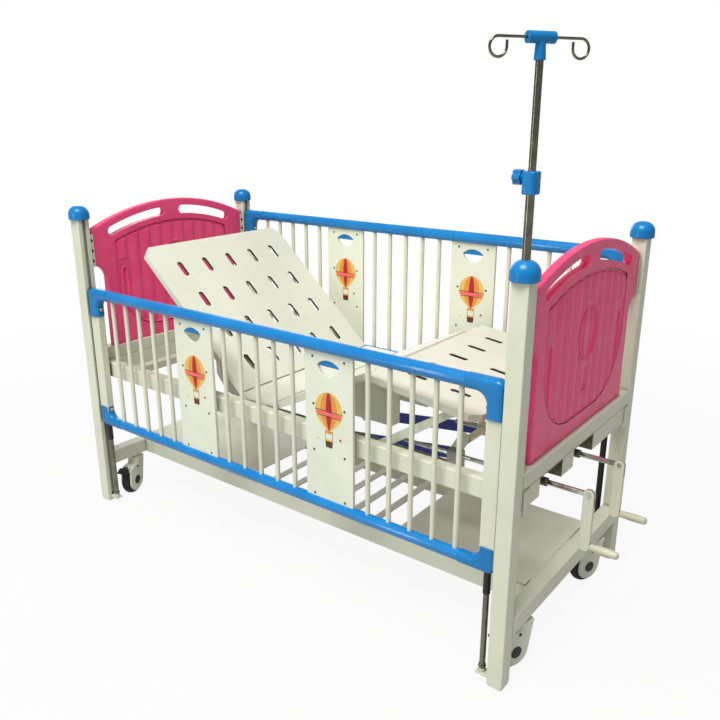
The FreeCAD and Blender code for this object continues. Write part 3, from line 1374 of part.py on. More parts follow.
def make_casters():
    stems = []
    for name, heading in caster_headings.items():
        x = caster_x if name.startswith("foot") else -caster_x
        y = caster_y if name.endswith("left") else -caster_y
        save("caster_hood_" + name, caster_frame(caster_hood(), x, y, heading))
        save("caster_wheel_" + name, caster_frame(caster_wheel(), x, y, heading))
        save("caster_pedal_" + name, caster_frame(caster_pedal(), x, y, heading))
        stems.append(rod((x, y, hood_height - stem_depth + 2.0), (0, 0, 1), stem_depth - 2.0 + stem_length,
                         stem_diameter))
    save("caster_stems", stems)


# ---------------------------------------------------------------- infusion pole
def make_pole():
    x = post_centre_x
    y = -post_centre_y
    wall = (pole_outer - pole_inner) / 2.0 - pole_fit
    save("pole_lower", pipe((x, y, pole_outer_bottom), (0, 0, 1), pole_outer_top - pole_outer_bottom,
                            pole_outer, wall))
    save("pole_upper", pipe((x, y, pole_inner_bottom), (0, 0, 1), pole_inner_top - pole_inner_bottom,
                            pole_inner, pole_wall))
    low = pole_outer_top - clamp_height / 2.0
    knob_z = pole_outer_top + 12.0
    half = clamp_width / 2.0
    body = rounded_block((x - half, x + half), (y - half, y + half), (low, low + clamp_height),
                         clamp_corner, "z")
    rims = [edge for edge in body.Edges if edge.BoundBox.ZLength < 0.01]
    body = body.makeFillet(clamp_rim, rims)
    boss = rod((x, y, knob_z), (-1, 0, 0), half + 4.0, 24.0)
    bore_low = rod((x, y, low - 1.0), (0, 0, 1), clamp_height / 2.0 + 1.0, pole_outer)
    bore_high = rod((x, y, low), (0, 0, 1), clamp_height + 1.0, pole_inner + 2.0 * pole_fit)
    screw_hole = rod((x - pole_inner / 2.0 - 1.0, y, knob_z), (-1, 0, 0), 2.0 * half,
                     knob_screw + 2.0 * bearing_fit)
    save("pole_clamp", body.fuse(boss).cut(bore_low).cut(bore_high).cut(screw_hole))
    knob_x = x - half - 4.5
    grip = rod((knob_x, y, knob_z), (-1, 0, 0), knob_length, knob_diameter)
    reach = knob_diameter * 0.58
    for i in range(knob_lobes):
        angle = 2.0 * math.pi * i / knob_lobes
        grip = grip.cut(rod((knob_x + 1.0, y + reach * math.sin(angle), knob_z + reach * math.cos(angle)),
                            (-1, 0, 0), knob_length + 2.0, knob_diameter * 0.34))
    stud_start = x - pole_inner / 2.0 - 1.5
    stud = rod((stud_start, y, knob_z), (-1, 0, 0), stud_start - knob_x + 5.0, knob_screw)
    save("pole_knob", grip.fuse(stud))
    make_pole_head(x, y)


def make_pole_head(x, y):
    """Moulded T on the pole, and the bent hook rod that passes through its barrel."""
    stem = Part.makeCone(head_stem_diameter / 2.0, head_stem_diameter * 0.4, head_stem_length,
                         Vector(x, y, pole_inner_top), Vector(0, 0, 1))
    heading = math.radians(hook_heading)
    unit = Vector(math.cos(heading), math.sin(heading), 0.0)
    centre = Vector(x, y, head_barrel_height)
    start = centre.sub(Vector(unit).multiply(head_barrel_length / 2.0))
    barrel = Part.makeCylinder(head_barrel_diameter / 2.0, head_barrel_length, start, unit)
    spigot = rod((x, y, pole_inner_top - 20.0), (0, 0, 1), 21.0, pole_inner - 2.0 * pole_wall)
    loops = []
    for side in (-1.0, 1.0):
        outward = Vector(unit).multiply(side)
        tip = centre.add(Vector(outward).multiply(hook_half_span))
        loop_centre = tip.sub(Vector(0.0, 0.0, hook_loop_radius))
        points = [tip]
        for turn in (135.0, 270.0):
            radians = math.radians(turn)
            sideways = Vector(outward).multiply(hook_loop_radius * math.sin(radians))
            upward = Vector(0.0, 0.0, hook_loop_radius * math.cos(radians))
            points.append(loop_centre.add(sideways).add(upward))
        points.append(points[-1].add(Vector(0.0, 0.0, hook_return)))
        loops.append(points)
    near, far = loops
    spine = Part.Wire([
        Part.LineSegment(near[3], near[2]).toShape(),
        Part.Arc(near[2], near[1], near[0]).toShape(),
        Part.LineSegment(near[0], far[0]).toShape(),
        Part.Arc(far[0], far[1], far[2]).toShape(),
        Part.LineSegment(far[2], far[3]).toShape(),
    ])
    first = spine.OrderedEdges[0]
    point = first.valueAt(first.FirstParameter)
    tangent = first.tangentAt(first.FirstParameter)
    profile = Part.Wire(Part.makeCircle(hook_rod_diameter / 2.0, point, tangent))
    hook = spine.makePipeShell([profile], True, False)
    head = stem.fuse(barrel).fuse(spigot)
    save("pole_head", head.cut(hook))
    save("pole_hook", hook)


# ---------------------------------------------------------------- build
make_posts()
make_post_plugs()
make_post_caps()
make_end_beams()
make_lower_frame()
make_shelf()
make_boards()
make_board_brackets()
make_rail("right", -post_centre_y, 0.0)
make_rail("left", post_centre_y, rail_travel)
make_guides()
make_back()
make_seat()
make_thigh()
make_foot()
stay_bosses = make_stays()
make_cross_members(stay_bosses)
make_cranks()
make_back_drive()
make_knee_drive()
make_casters()
make_pole()
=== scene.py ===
import bpy
import math
import numpy as np
from mathutils import Matrix, Vector


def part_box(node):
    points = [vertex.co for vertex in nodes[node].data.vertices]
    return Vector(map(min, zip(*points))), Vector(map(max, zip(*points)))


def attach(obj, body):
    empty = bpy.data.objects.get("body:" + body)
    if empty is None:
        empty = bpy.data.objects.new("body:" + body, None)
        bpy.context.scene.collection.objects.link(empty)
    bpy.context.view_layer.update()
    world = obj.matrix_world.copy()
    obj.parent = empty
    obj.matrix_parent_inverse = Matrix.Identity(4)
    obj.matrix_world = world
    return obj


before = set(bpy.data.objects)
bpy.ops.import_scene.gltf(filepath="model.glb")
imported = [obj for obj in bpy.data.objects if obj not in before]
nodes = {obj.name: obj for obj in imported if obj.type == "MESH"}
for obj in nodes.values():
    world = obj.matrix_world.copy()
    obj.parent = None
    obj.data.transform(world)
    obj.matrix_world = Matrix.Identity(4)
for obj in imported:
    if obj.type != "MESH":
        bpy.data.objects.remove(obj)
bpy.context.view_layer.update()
print("frame loaded:", len(nodes), "nodes")


# shared helpers
def linearColour(code):
    values = []
    for start in (0, 2, 4):
        value = int(code[start:start + 2], 16) / 255.0
        values.append(value / 12.92 if value <= 0.04045 else ((value + 0.055) / 1.055) ** 2.4)
    return (values[0], values[1], values[2], 1.0)


def addNode(tree, kind, settings=(), links=()):
    node = tree.nodes.new(kind)
    for key, value in settings:
        if isinstance(key, str) and hasattr(node, key):
            setattr(node, key, value)
        else:
            node.inputs[key].default_value = value
    for key, source in links:
        tree.links.new(source, node.inputs[key])
    return node


def newMaterial(name):
    material = bpy.data.materials.new(name)
    material.use_nodes = True
    tree = material.node_tree
    tree.nodes.clear()
    shader = addNode(tree, "ShaderNodeBsdfPrincipled")
    output = addNode(tree, "ShaderNodeOutputMaterial", links=[("Surface", shader.outputs[0])])
    place = addNode(tree, "ShaderNodeTexCoord").outputs["Object"]
    return material, tree, shader, output, place


# how the noises of every finish look: the part of a noise's range that its two ends are spread over, and its
# fineness in colour, gloss and skin
noise = {"span": (0.30, 0.70), "colourDetail": 3.0, "colourRoughness": 0.55, "glossDetail": 4.0, "skinDetail": 2.0}
# samples of the rounded edges and of the painted crease shade
nearSamples = {"edge": 6, "paintedCreaseShade": 8}


def colourNoise(tree, place, size, low, high):
    # patches of two near shades, size in metres
    patches = addNode(tree, "ShaderNodeTexNoise", [("Scale", 1.0 / size), ("Detail", noise["colourDetail"]),
                                                   ("Roughness", noise["colourRoughness"])], [("Vector", place)])
    ramp = addNode(tree, "ShaderNodeValToRGB", links=[("Fac", patches.outputs["Fac"])])
    for element, position, colour in zip(ramp.color_ramp.elements, noise["span"], (low, high)):
        element.position = position
        element.color = linearColour(colour)
    return ramp.outputs["Color"]


def roughNoise(tree, place, size, low, high):
    # patches of two near degrees of gloss
    patches = addNode(tree, "ShaderNodeTexNoise", [("Scale", 1.0 / size), ("Detail", noise["glossDetail"])],
                      [("Vector", place)])
    spread = addNode(tree, "ShaderNodeMapRange", [("From Min", noise["span"][0]), ("From Max", noise["span"][1]),
                                                  ("To Min", low), ("To Max", high)],
                     [("Value", patches.outputs["Fac"])])
    return spread.outputs["Result"]


def bumpNoise(tree, place, size, height, strength, rounding):
    # a fine skin, and edges that catch light where rounding is more than nothing
    skin = addNode(tree, "ShaderNodeTexNoise", [("Scale", 1.0 / size), ("Detail", noise["skinDetail"])],
                   [("Vector", place)])
    bump = addNode(tree, "ShaderNodeBump", [("Strength", strength), ("Distance", height)],
                   [("Height", skin.outputs["Fac"])])
    if rounding > 0.0:
        bevel = addNode(tree, "ShaderNodeBevel", [("samples", nearSamples["edge"]), ("Radius", rounding)])
        tree.links.new(bevel.outputs["Normal"], bump.inputs["Normal"])
    return bump.outputs["Normal"]


# what a finish has unless its own values say otherwise
plainFinish = {"rounding": 0.0, "metallic": 0.0, "ior": 1.5, "specular": 0.5, "coat": 0.0, "coatRoughness": 0.08,
               "paintedShadeFrom": 0.25, "paintedShadeTo": 0.85}


def finishSurface(name, ownValues):
    # one recipe for paint, plastic, metal and rubber: two near shades, uneven gloss, a fine skin and, where asked,
    # painted shade in creases
    values = {**plainFinish, **ownValues}
    material, tree, shader, output, place = newMaterial(name)
    paint = colourNoise(tree, place, values["patch"], values["low"], values["high"])
    if "paintedCreaseShade" in values:
        # painted shade: an occlusion node darkens joints and grooves closer than the reach, as shade that falls there
        near = addNode(tree, "ShaderNodeAmbientOcclusion", [("samples", nearSamples["paintedCreaseShade"]),
                                                            ("Distance", values["paintedShadeReach"])])
        clear = addNode(tree, "ShaderNodeMapRange", [("From Min", values["paintedShadeFrom"]),
                                                     ("From Max", values["paintedShadeTo"])],
                        [("Value", near.outputs["AO"])])
        mix = addNode(tree, "ShaderNodeMix", [("data_type", "RGBA")])
        mix.inputs[6].default_value = linearColour(values["paintedCreaseShade"])
        tree.links.new(clear.outputs["Result"], mix.inputs["Factor"])
        tree.links.new(paint, mix.inputs[7])
        paint = mix.outputs[2]
    tree.links.new(paint, shader.inputs["Base Color"])
    tree.links.new(roughNoise(tree, place, values["glossPatch"], values["roughLow"], values["roughHigh"]),
                   shader.inputs["Roughness"])
    tree.links.new(bumpNoise(tree, place, values["grain"], values["grainHeight"], values["grainStrength"],
                             values["rounding"]), shader.inputs["Normal"])
    for key, value in (("Metallic", "metallic"), ("IOR", "ior"), ("Specular IOR Level", "specular"),
                       ("Coat Weight", "coat"), ("Coat Roughness", "coatRoughness")):
        shader.inputs[key].default_value = values[value]
    return material


# cream powder coat, satin: warm off-white with an orange-peel skin, and painted shade where pieces meet
creamPaint = finishSurface("cream powder coat satin", {
    "patch": 0.22, "low": "D8DBC3", "high": "E0E3CD", "glossPatch": 0.03, "roughLow": 0.34, "roughHigh": 0.46,
    "grain": 0.0022, "grainHeight": 0.00012, "grainStrength": 0.35, "rounding": 0.0028,
    "paintedCreaseShade": "6E6F58", "paintedShadeReach": 0.020})

# the same coat on the deck's sheet steel, a whiter and smoother cream
deckPaint = finishSurface("cream powder coat sheet", {
    "patch": 0.30, "low": "DADDC9", "high": "E2E5D3", "glossPatch": 0.04, "roughLow": 0.36, "roughHigh": 0.48,
    "grain": 0.0025, "grainHeight": 0.00010, "grainStrength": 0.3, "rounding": 0.0022})

# moulded cream plastic, semi-gloss: the palest piece beside the painted steel
creamPlastic = finishSurface("cream moulded plastic", {
    "patch": 0.12, "low": "E0E5CE", "high": "E8ECD8", "glossPatch": 0.05, "roughLow": 0.28, "roughHigh": 0.38,
    "grain": 0.0012, "grainHeight": 0.00005, "grainStrength": 0.25, "rounding": 0.0018, "ior": 1.49})

# blue glossy plastic: clear saturated blue with one soft highlight on each cap and moulding
bluePlastic = finishSurface("blue glossy plastic", {
    "patch": 0.08, "low": "0072B4", "high": "0A80C2", "glossPatch": 0.05, "roughLow": 0.28, "roughHigh": 0.36,
    "grain": 0.0015, "grainHeight": 0.00004, "grainStrength": 0.2, "rounding": 0.002, "ior": 1.49, "coat": 0.22,
    "specular": 0.3})

# blue gloss paint: a shade lighter, with a long bright line along each rail tube
bluePaint = finishSurface("blue gloss paint", {
    "patch": 0.15, "low": "0676BA", "high": "1084CA", "glossPatch": 0.04, "roughLow": 0.22, "roughHigh": 0.32,
    "grain": 0.0018, "grainHeight": 0.00005, "grainStrength": 0.25, "coat": 0.4, "specular": 0.3})

# pink blow-moulded plastic: strong pink, with crimson painted shade in the grooves of the boards
pinkPlastic = finishSurface("pink moulded plastic", {
    "patch": 0.10, "low": "F64A80", "high": "FC598C", "glossPatch": 0.06, "roughLow": 0.28, "roughHigh": 0.38,
    "grain": 0.0016, "grainHeight": 0.00008, "grainStrength": 0.3, "rounding": 0.002, "specular": 0.32,
    "paintedCreaseShade": "8E1238", "paintedShadeReach": 0.010})

# cream plastic of the crank grips, a darker cream that is painted shade
shadedGripPlastic = finishSurface("cream plastic with painted shade", {
    "patch": 0.03, "low": "C6C3A8", "high": "D2CFB8", "glossPatch": 0.02, "roughLow": 0.34, "roughHigh": 0.5,
    "grain": 0.0012, "grainHeight": 0.00008, "grainStrength": 0.3, "rounding": 0.001, "ior": 1.49})

# black satin paint on the guides, black with a dull sheen
blackPaint = finishSurface("black satin paint", {
    "patch": 0.06, "low": "0A0A0B", "high": "141416", "glossPatch": 0.02, "roughLow": 0.28, "roughHigh": 0.42,
    "grain": 0.0015, "grainHeight": 0.00006, "grainStrength": 0.3})

# black matt plastic of pedals, slide blocks and covers, a shade greyer than the paint
blackPlastic = finishSurface("black matt plastic", {
    "patch": 0.03, "low": "101011", "high": "1B1B1D", "glossPatch": 0.01, "roughLow": 0.45, "roughHigh": 0.6,
    "grain": 0.0008, "grainHeight": 0.0001, "grainStrength": 0.4, "rounding": 0.001, "ior": 1.49})

# black rubber tyres, dull and a little dusty
blackRubber = finishSurface("black rubber", {
    "patch": 0.02, "low": "0D0D0E", "high": "1E1E1F", "glossPatch": 0.008, "roughLow": 0.55, "roughHigh": 0.75,
    "grain": 0.0009, "grainHeight": 0.00012, "grainStrength": 0.5, "ior": 1.52})

# navy paint on the two flat drive bars, the one dark colour under the deck
navyPaint = finishSurface("navy paint", {
    "patch": 0.07, "low": "081E82", "high": "0C2C98", "glossPatch": 0.02, "roughLow": 0.3, "roughHigh": 0.45,
    "grain": 0.0018, "grainHeight": 0.00008, "grainStrength": 0.3, "rounding": 0.0015})

# polished steel tube, warm grey with narrow streaks of light
polishedSteel = finishSurface("polished steel", {
    "patch": 0.05, "low": "696759", "high": "8B8979", "glossPatch": 0.006, "roughLow": 0.14, "roughHigh": 0.24,
    "grain": 0.0007, "grainHeight": 0.00002, "grainStrength": 0.2, "metallic": 1.0})

# bright chrome of the crank shafts, which mirrors the pale room
brightChrome = finishSurface("bright chrome", {
    "patch": 0.05, "low": "B9B9B0", "high": "D2D2CA", "glossPatch": 0.006, "roughLow": 0.10, "roughHigh": 0.2,
    "grain": 0.0007, "grainHeight": 0.00002, "grainStrength": 0.2, "metallic": 1.0})

# zinc plated steel of stems and drive, a cloudy grey
zincSteel = finishSurface("zinc plated steel", {
    "patch": 0.01, "low": "8E8F88", "high": "A9AAA2", "glossPatch": 0.004, "roughLow": 0.3, "roughHigh": 0.5,
    "grain": 0.0006, "grainHeight": 0.00004, "grainStrength": 0.3, "rounding": 0.001, "metallic": 1.0})

# folded steel of the crank bearings in a dull dark olive, a painted shade for the notch's shaded inside
shadeOliveSteel = finishSurface("steel in painted olive shade", {
    "patch": 0.02, "low": "54553F", "high": "6C6D54", "glossPatch": 0.006, "roughLow": 0.4, "roughHigh": 0.55,
    "grain": 0.0008, "grainHeight": 0.00004, "grainStrength": 0.3, "rounding": 0.001})

# bright metal screws: a pale, little-metallic colour that is a painted reflection, so they stay light even where they
# face away from the lamps
reflectionPaintedScrew = finishSurface("screw with painted bright reflection", {
    "patch": 0.002, "low": "DAD7CF", "high": "EDEBE4", "glossPatch": 0.002, "roughLow": 0.2, "roughHigh": 0.35,
    "grain": 0.0005, "grainHeight": 0.00003, "grainStrength": 0.3, "metallic": 0.2})

# dark teal screws, small dark dots on the cream panels
tealScrew = finishSurface("dark teal screw", {
    "patch": 0.002, "low": "0C4A66", "high": "18617E", "glossPatch": 0.002, "roughLow": 0.25, "roughHigh": 0.4,
    "grain": 0.0005, "grainHeight": 0.00003, "grainStrength": 0.3, "metallic": 0.3})

# shadow in the fine gap where two blue pieces meet
seamShade = finishSurface("seam shadow", {
    "patch": 0.01, "low": "0B3F73", "high": "104A84", "glossPatch": 0.01, "roughLow": 0.4, "roughHigh": 0.5,
    "grain": 0.001, "grainHeight": 0.00002, "grainStrength": 0.2})


def inkMaterial(name, low, high):
    # printed ink on the panels: even colour with a faint screen grain
    return finishSurface(name, {
        "patch": 0.004, "low": low, "high": high, "glossPatch": 0.01, "roughLow": 0.3, "roughHigh": 0.4,
        "grain": 0.0006, "grainHeight": 0.00002, "grainStrength": 0.2, "ior": 1.49})


inks = {
    "yellow": inkMaterial("yellow ink", "E2B455", "EAC468"),
    "orange": inkMaterial("orange ink", "D98A33", "E39B45"),
    "red": inkMaterial("red ink", "A80606", "BE1010"),
    "pink": inkMaterial("light red ink", "F25E5E", "FA7070"),
    "brown": inkMaterial("brown ink", "4E2602", "623406"),
}
print("materials made")

# painted shade on the turned-down walls of the deck's slots: a dark colour where they lose the light. Each section is
# measured in its own plane, turned back about its pivot. A pivot of None is the near top corner of the imported
# section.
paintedSlotShade = {"colour": "34352B", "depth": 0.0115, "below": 0.0006, "halfWidth": 0.330, "steepness": 0.35,
            "cornerInset": 0.003,
            "back": {"pivot": (-0.152, 0.0, 0.65), "level": 0.657, "tilt": 42.0, "from": -0.678, "to": -0.033},
            "foot": {"pivot": None, "level": None, "tilt": 7.4, "from": 0.020, "to": 0.375}}


def shadeSlots(material, pivot, level, tilt, start, end):
    # painted shade: a dark colour on faces that stand across the sheet, just under it and away from its borders
    tree = material.node_tree
    shader = next(node for node in tree.nodes if node.type == "BSDF_PRINCIPLED")
    paint = shader.inputs["Base Color"].links[0].from_socket
    coordinates = addNode(tree, "ShaderNodeTexCoord")
    angle = -math.radians(tilt)
    levelled = addNode(tree, "ShaderNodeVectorRotate", [("rotation_type", "Y_AXIS"), ("Center", pivot),
                                                        ("Angle", angle)],
                       [("Vector", coordinates.outputs["Object"])])
    turned = addNode(tree, "ShaderNodeVectorRotate", [("rotation_type", "Y_AXIS"), ("Angle", angle)],
                     [("Vector", coordinates.outputs["Normal"])])
    at = addNode(tree, "ShaderNodeSeparateXYZ", links=[(0, levelled.outputs[0])])
    side = addNode(tree, "ShaderNodeSeparateXYZ", links=[(0, turned.outputs[0])])
    tests = []
    for source, middle, reach in ((at.outputs["X"], (start + end) / 2.0, (end - start) / 2.0),
                                  (at.outputs["Y"], 0.0, paintedSlotShade["halfWidth"]),
                                  (at.outputs["Z"], level - (paintedSlotShade["depth"] + paintedSlotShade["below"]) / 2.0,
                                   (paintedSlotShade["depth"] - paintedSlotShade["below"]) / 2.0),
                                  (side.outputs["Z"], 0.0, paintedSlotShade["steepness"])):
        tests.append(addNode(tree, "ShaderNodeMath", [("operation", "COMPARE"), (1, middle), (2, reach)],
                             [(0, source)]).outputs[0])
    wall = tests[0]
    for test in tests[1:]:
        wall = addNode(tree, "ShaderNodeMath", [("operation", "MULTIPLY")], [(0, wall), (1, test)]).outputs[0]
    mix = addNode(tree, "ShaderNodeMix", [("data_type", "RGBA")])
    mix.inputs[7].default_value = linearColour(paintedSlotShade["colour"])
    tree.links.new(wall, mix.inputs["Factor"])
    tree.links.new(paint, mix.inputs[6])
    tree.links.new(mix.outputs[2], shader.inputs["Base Color"])
    return material


# which finish each node of the frame takes
finishes = {
    "posts": creamPaint, "upper_crossbeams": creamPaint, "deck_frame": creamPaint, "lower_frame": creamPaint,
    "shelf": creamPaint, "board_brackets": creamPaint, "guide_brackets": creamPaint,
    "deck_cross_members": creamPaint, "crank_brackets": shadeOliveSteel, "foot_stays": creamPaint,
    "seat_section": deckPaint, "back_section": deckPaint, "thigh_section": deckPaint, "foot_section": deckPaint,
    "footboard": pinkPlastic, "headboard": pinkPlastic, "post_caps": bluePlastic, "post_plugs": creamPlastic,
    "guide_rods_right": polishedSteel, "rail_right_guides": blackPaint, "guide_cylinders_left": blackPaint,
    "rail_left_guides": polishedSteel, "back_drive": zincSteel, "knee_crosshead": creamPaint,
    "knee_bars": navyPaint, "caster_stems": zincSteel, "pole_lower": polishedSteel, "pole_upper": polishedSteel,
    "pole_hook": polishedSteel, "pole_clamp": bluePlastic, "pole_knob": bluePlastic, "pole_head": bluePlastic,
}
for side in ("right", "left"):
    finishes["rail_" + side + "_bars"] = creamPaint
    finishes["rail_" + side + "_tubes"] = bluePaint
    finishes["rail_" + side + "_mouldings"] = bluePlastic
    finishes["rail_" + side + "_panels"] = creamPlastic
    finishes["rail_" + side + "_slide_blocks"] = blackPlastic
for part in ("back", "knee"):
    finishes["crank_shaft_" + part] = brightChrome
    finishes["crank_arm_" + part] = creamPaint
    finishes["crank_grip_" + part] = shadedGripPlastic
for corner in ("head_right", "head_left", "foot_right", "foot_left"):
    finishes["caster_hood_" + corner] = creamPlastic
    finishes["caster_wheel_" + corner] = blackRubber
    finishes["caster_pedal_" + corner] = blackPlastic
for name in ("back", "foot"):
    section = paintedSlotShade[name]
    low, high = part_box(name + "_section")
    pivot = section["pivot"] or (low[0] + paintedSlotShade["cornerInset"], 0.0, high[2])
    # a copy of the deck paint that carries the painted slot shade
    shaded = deckPaint.copy()
    shaded.name = "cream powder coat slotted " + name
    finishes[name + "_section"] = shadeSlots(shaded, pivot, section["level"] or pivot[2], section["tilt"],
                                             pivot[0] + section["from"], pivot[0] + section["to"])
for name, node in nodes.items():
    node.data.materials.clear()
    node.data.materials.append(finishes[name])
print("finishes set")


# mesh helpers: edges that turn by more degrees than this stay sharp, and lathed shapes close at this radius
sharpAngle = 35.0
tipRadius = 0.00001


class Pieces:
    # gathers vertices and faces of one object, each face with its material
    def __init__(self):
        self.points = []
        self.faces = []
        self.marks = []

    def add(self, points, faces, mark=0):
        start = len(self.points)
        self.points += [tuple(p) for p in points]
        self.faces += [tuple(start + i for i in face) for face in faces]
        self.marks += [mark] * len(faces)

    def lathe(self, profile, place, mark=0, segments=20):
        # profile of (radius, height) pairs turned about the place's Z axis
        points = []
        faces = []
        for radius, height in profile:
            for i in range(segments):
                angle = 2.0 * math.pi * i / segments
                points.append(place @ Vector((radius * math.cos(angle), radius * math.sin(angle), height)))
        for ring in range(len(profile) - 1):
            for i in range(segments):
                a = ring * segments + i
                b = ring * segments + (i + 1) % segments
                faces.append((a, b, b + segments, a + segments))
        self.add(points, faces, mark)

    def box(self, low, high, place, mark=0):
        corners = [place @ Vector((x, y, z)) for x in (low[0], high[0]) for y in (low[1], high[1])
                   for z in (low[2], high[2])]
        self.add(corners, [(0, 1, 3, 2), (4, 6, 7, 5), (0, 4, 5, 1), (2, 3, 7, 6), (0, 2, 6, 4), (1, 5, 7, 3)], mark)

    def build(self, name, materials, body, smooth=True):
        mesh = bpy.data.meshes.new(name)
        mesh.from_pydata(self.points, [], self.faces)
        for material in materials:
            mesh.materials.append(material)
        mesh.polygons.foreach_set("material_index", self.marks)
        mesh.polygons.foreach_set("use_smooth", [smooth] * len(self.faces))
        mesh.update()
        if smooth:
            mesh.set_sharp_from_angle(angle=math.radians(sharpAngle))
        piece = bpy.data.objects.new(name, mesh)
        bpy.context.scene.collection.objects.link(piece)
        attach(piece, body)
        return piece


def facing(centre, normal):
    # matrix whose Z axis points along a level normal
    z = Vector(normal).normalized()
    x = Vector((0.0, 0.0, 1.0)).cross(z).normalized()
    y = z.cross(x)
    matrix = Matrix((x, y, z)).transposed().to_4x4()
    matrix.translation = Vector(centre)
    return matrix


# how far a screw's cross stands over its head, enough to be seen
screwCrossRise = 0.00005


def screwHead(pieces, centre, normal, radius, height, headMark, crossMark):
    # low domed head with a dark cross in it, its profile in shares of radius and height
    place = facing(centre, normal)
    pieces.lathe([(radius, 0.0), (radius, height * 0.35), (radius * 0.85, height * 0.75), (radius * 0.5, height),
                  (tipRadius, height)], place, headMark)
    arm = radius * 0.55
    width = radius * 0.14
    top = height + screwCrossRise
    pieces.box((-arm, -width, height * 0.6), (arm, width, top), place, crossMark)
    pieces.box((-width, -arm, height * 0.6), (width, arm, top), place, crossMark)


def socketHead(pieces, centre, normal, radius, height, headMark, holeMark):
    # bright round head with a dark socket in it, on a dark seat ring
    place = facing(centre, normal)
    pieces.lathe([(radius * 1.45, 0.0), (radius * 1.45, height * 0.3), (radius * 0.9, height * 0.35)], place, holeMark)
    pieces.lathe([(radius, height * 0.3), (radius, height * 0.8), (radius * 0.9, height), (radius * 0.5, height),
                  (radius * 0.45, height * 0.4)], place, headMark)
    pieces.lathe([(radius * 0.48, height * 0.45), (tipRadius, height * 0.45)], place, holeMark)


# end boards: fluted relief in the recessed fields, lengths in metres. The field is a rectangle with an arched top
# and swept lower corners. Heights are measured from the bottom of the recess.
relief = {
    "outerX": 0.954, "innerX": 0.926, "depth": 0.006, "columns": 360, "rows": 150,
    "fieldHalf": 0.2995, "fieldLow": 0.7355, "arcCentre": 0.320, "topRadius": 0.8525, "sweepEnd": 0.951,
    "sweepMiddle": (0.2412, 0.7955), "sweepGap": 0.0006, "flatHalf": 0.0898,
    "flutePitch": 0.0599, "fluteRise": 0.0052, "fluteLean": 1.9, "fluteFullness": 0.6, "floor": 0.0006,
    "notchLow": 0.003, "notchHigh": 0.013, "notchSoft": 0.0035,
    "plainFrom": 0.234, "plainHeight": 0.0030, "rimInset": 0.0052, "rimHalf": 0.0044, "rimHeight": 0.0064,
    "rimBelowArch": 0.020, "skin": 0.0002,
    "loopY": 0.262, "loopLow": 0.812, "loopHigh": 0.992, "loopRadius": 0.0125, "loopHeight": 0.0056,
    "loopBead": 0.0048, "dashZ": 1.043, "dashHalf": 0.020,
    "balloonZ": 0.985, "balloonWide": 0.080, "balloonTall": 0.096, "balloonTaper": 0.42, "balloonCurve": 2.2,
    "balloonFloor": 0.0004, "balloonDome": 0.0022, "ribHeight": 0.0060, "edgeBead": 0.0052,
    "goreShares": (0.36, 0.72), "goreHeight": 0.0051, "goreBead": 0.0034,
    "basketZ": 0.815, "basketHalf": (0.020, 0.015), "basketHeight": 0.0012, "basketBead": 0.0046,
    "ropeTop": (0.040, 0.895), "ropeFoot": (0.019, 0.833), "ropeHeight": 0.0048,
}


def circleThrough(a, b, c):
    d = 2.0 * (a[0] * (b[1] - c[1]) + b[0] * (c[1] - a[1]) + c[0] * (a[1] - b[1]))
    squares = [p[0] ** 2 + p[1] ** 2 for p in (a, b, c)]
    x = (squares[0] * (b[1] - c[1]) + squares[1] * (c[1] - a[1]) + squares[2] * (a[1] - b[1])) / d
    y = (squares[0] * (c[0] - b[0]) + squares[1] * (a[0] - c[0]) + squares[2] * (b[0] - a[0])) / d
    return x, y, math.hypot(a[0] - x, a[1] - y)


def capsule(y, z, start, end):
    # distance from a line between two points
    run = np.array(end) - np.array(start)
    t = np.clip(((y - start[0]) * run[0] + (z - start[1]) * run[1]) / float(run @ run), 0.0, 1.0)
    return np.hypot(y - start[0] - t * run[0], z - start[1] - t * run[1])


def bead(distance, half, height):
    # rounded ridge about a line
    return height * np.sqrt(np.clip(1.0 - (distance / half) ** 2, 0.0, 1.0))


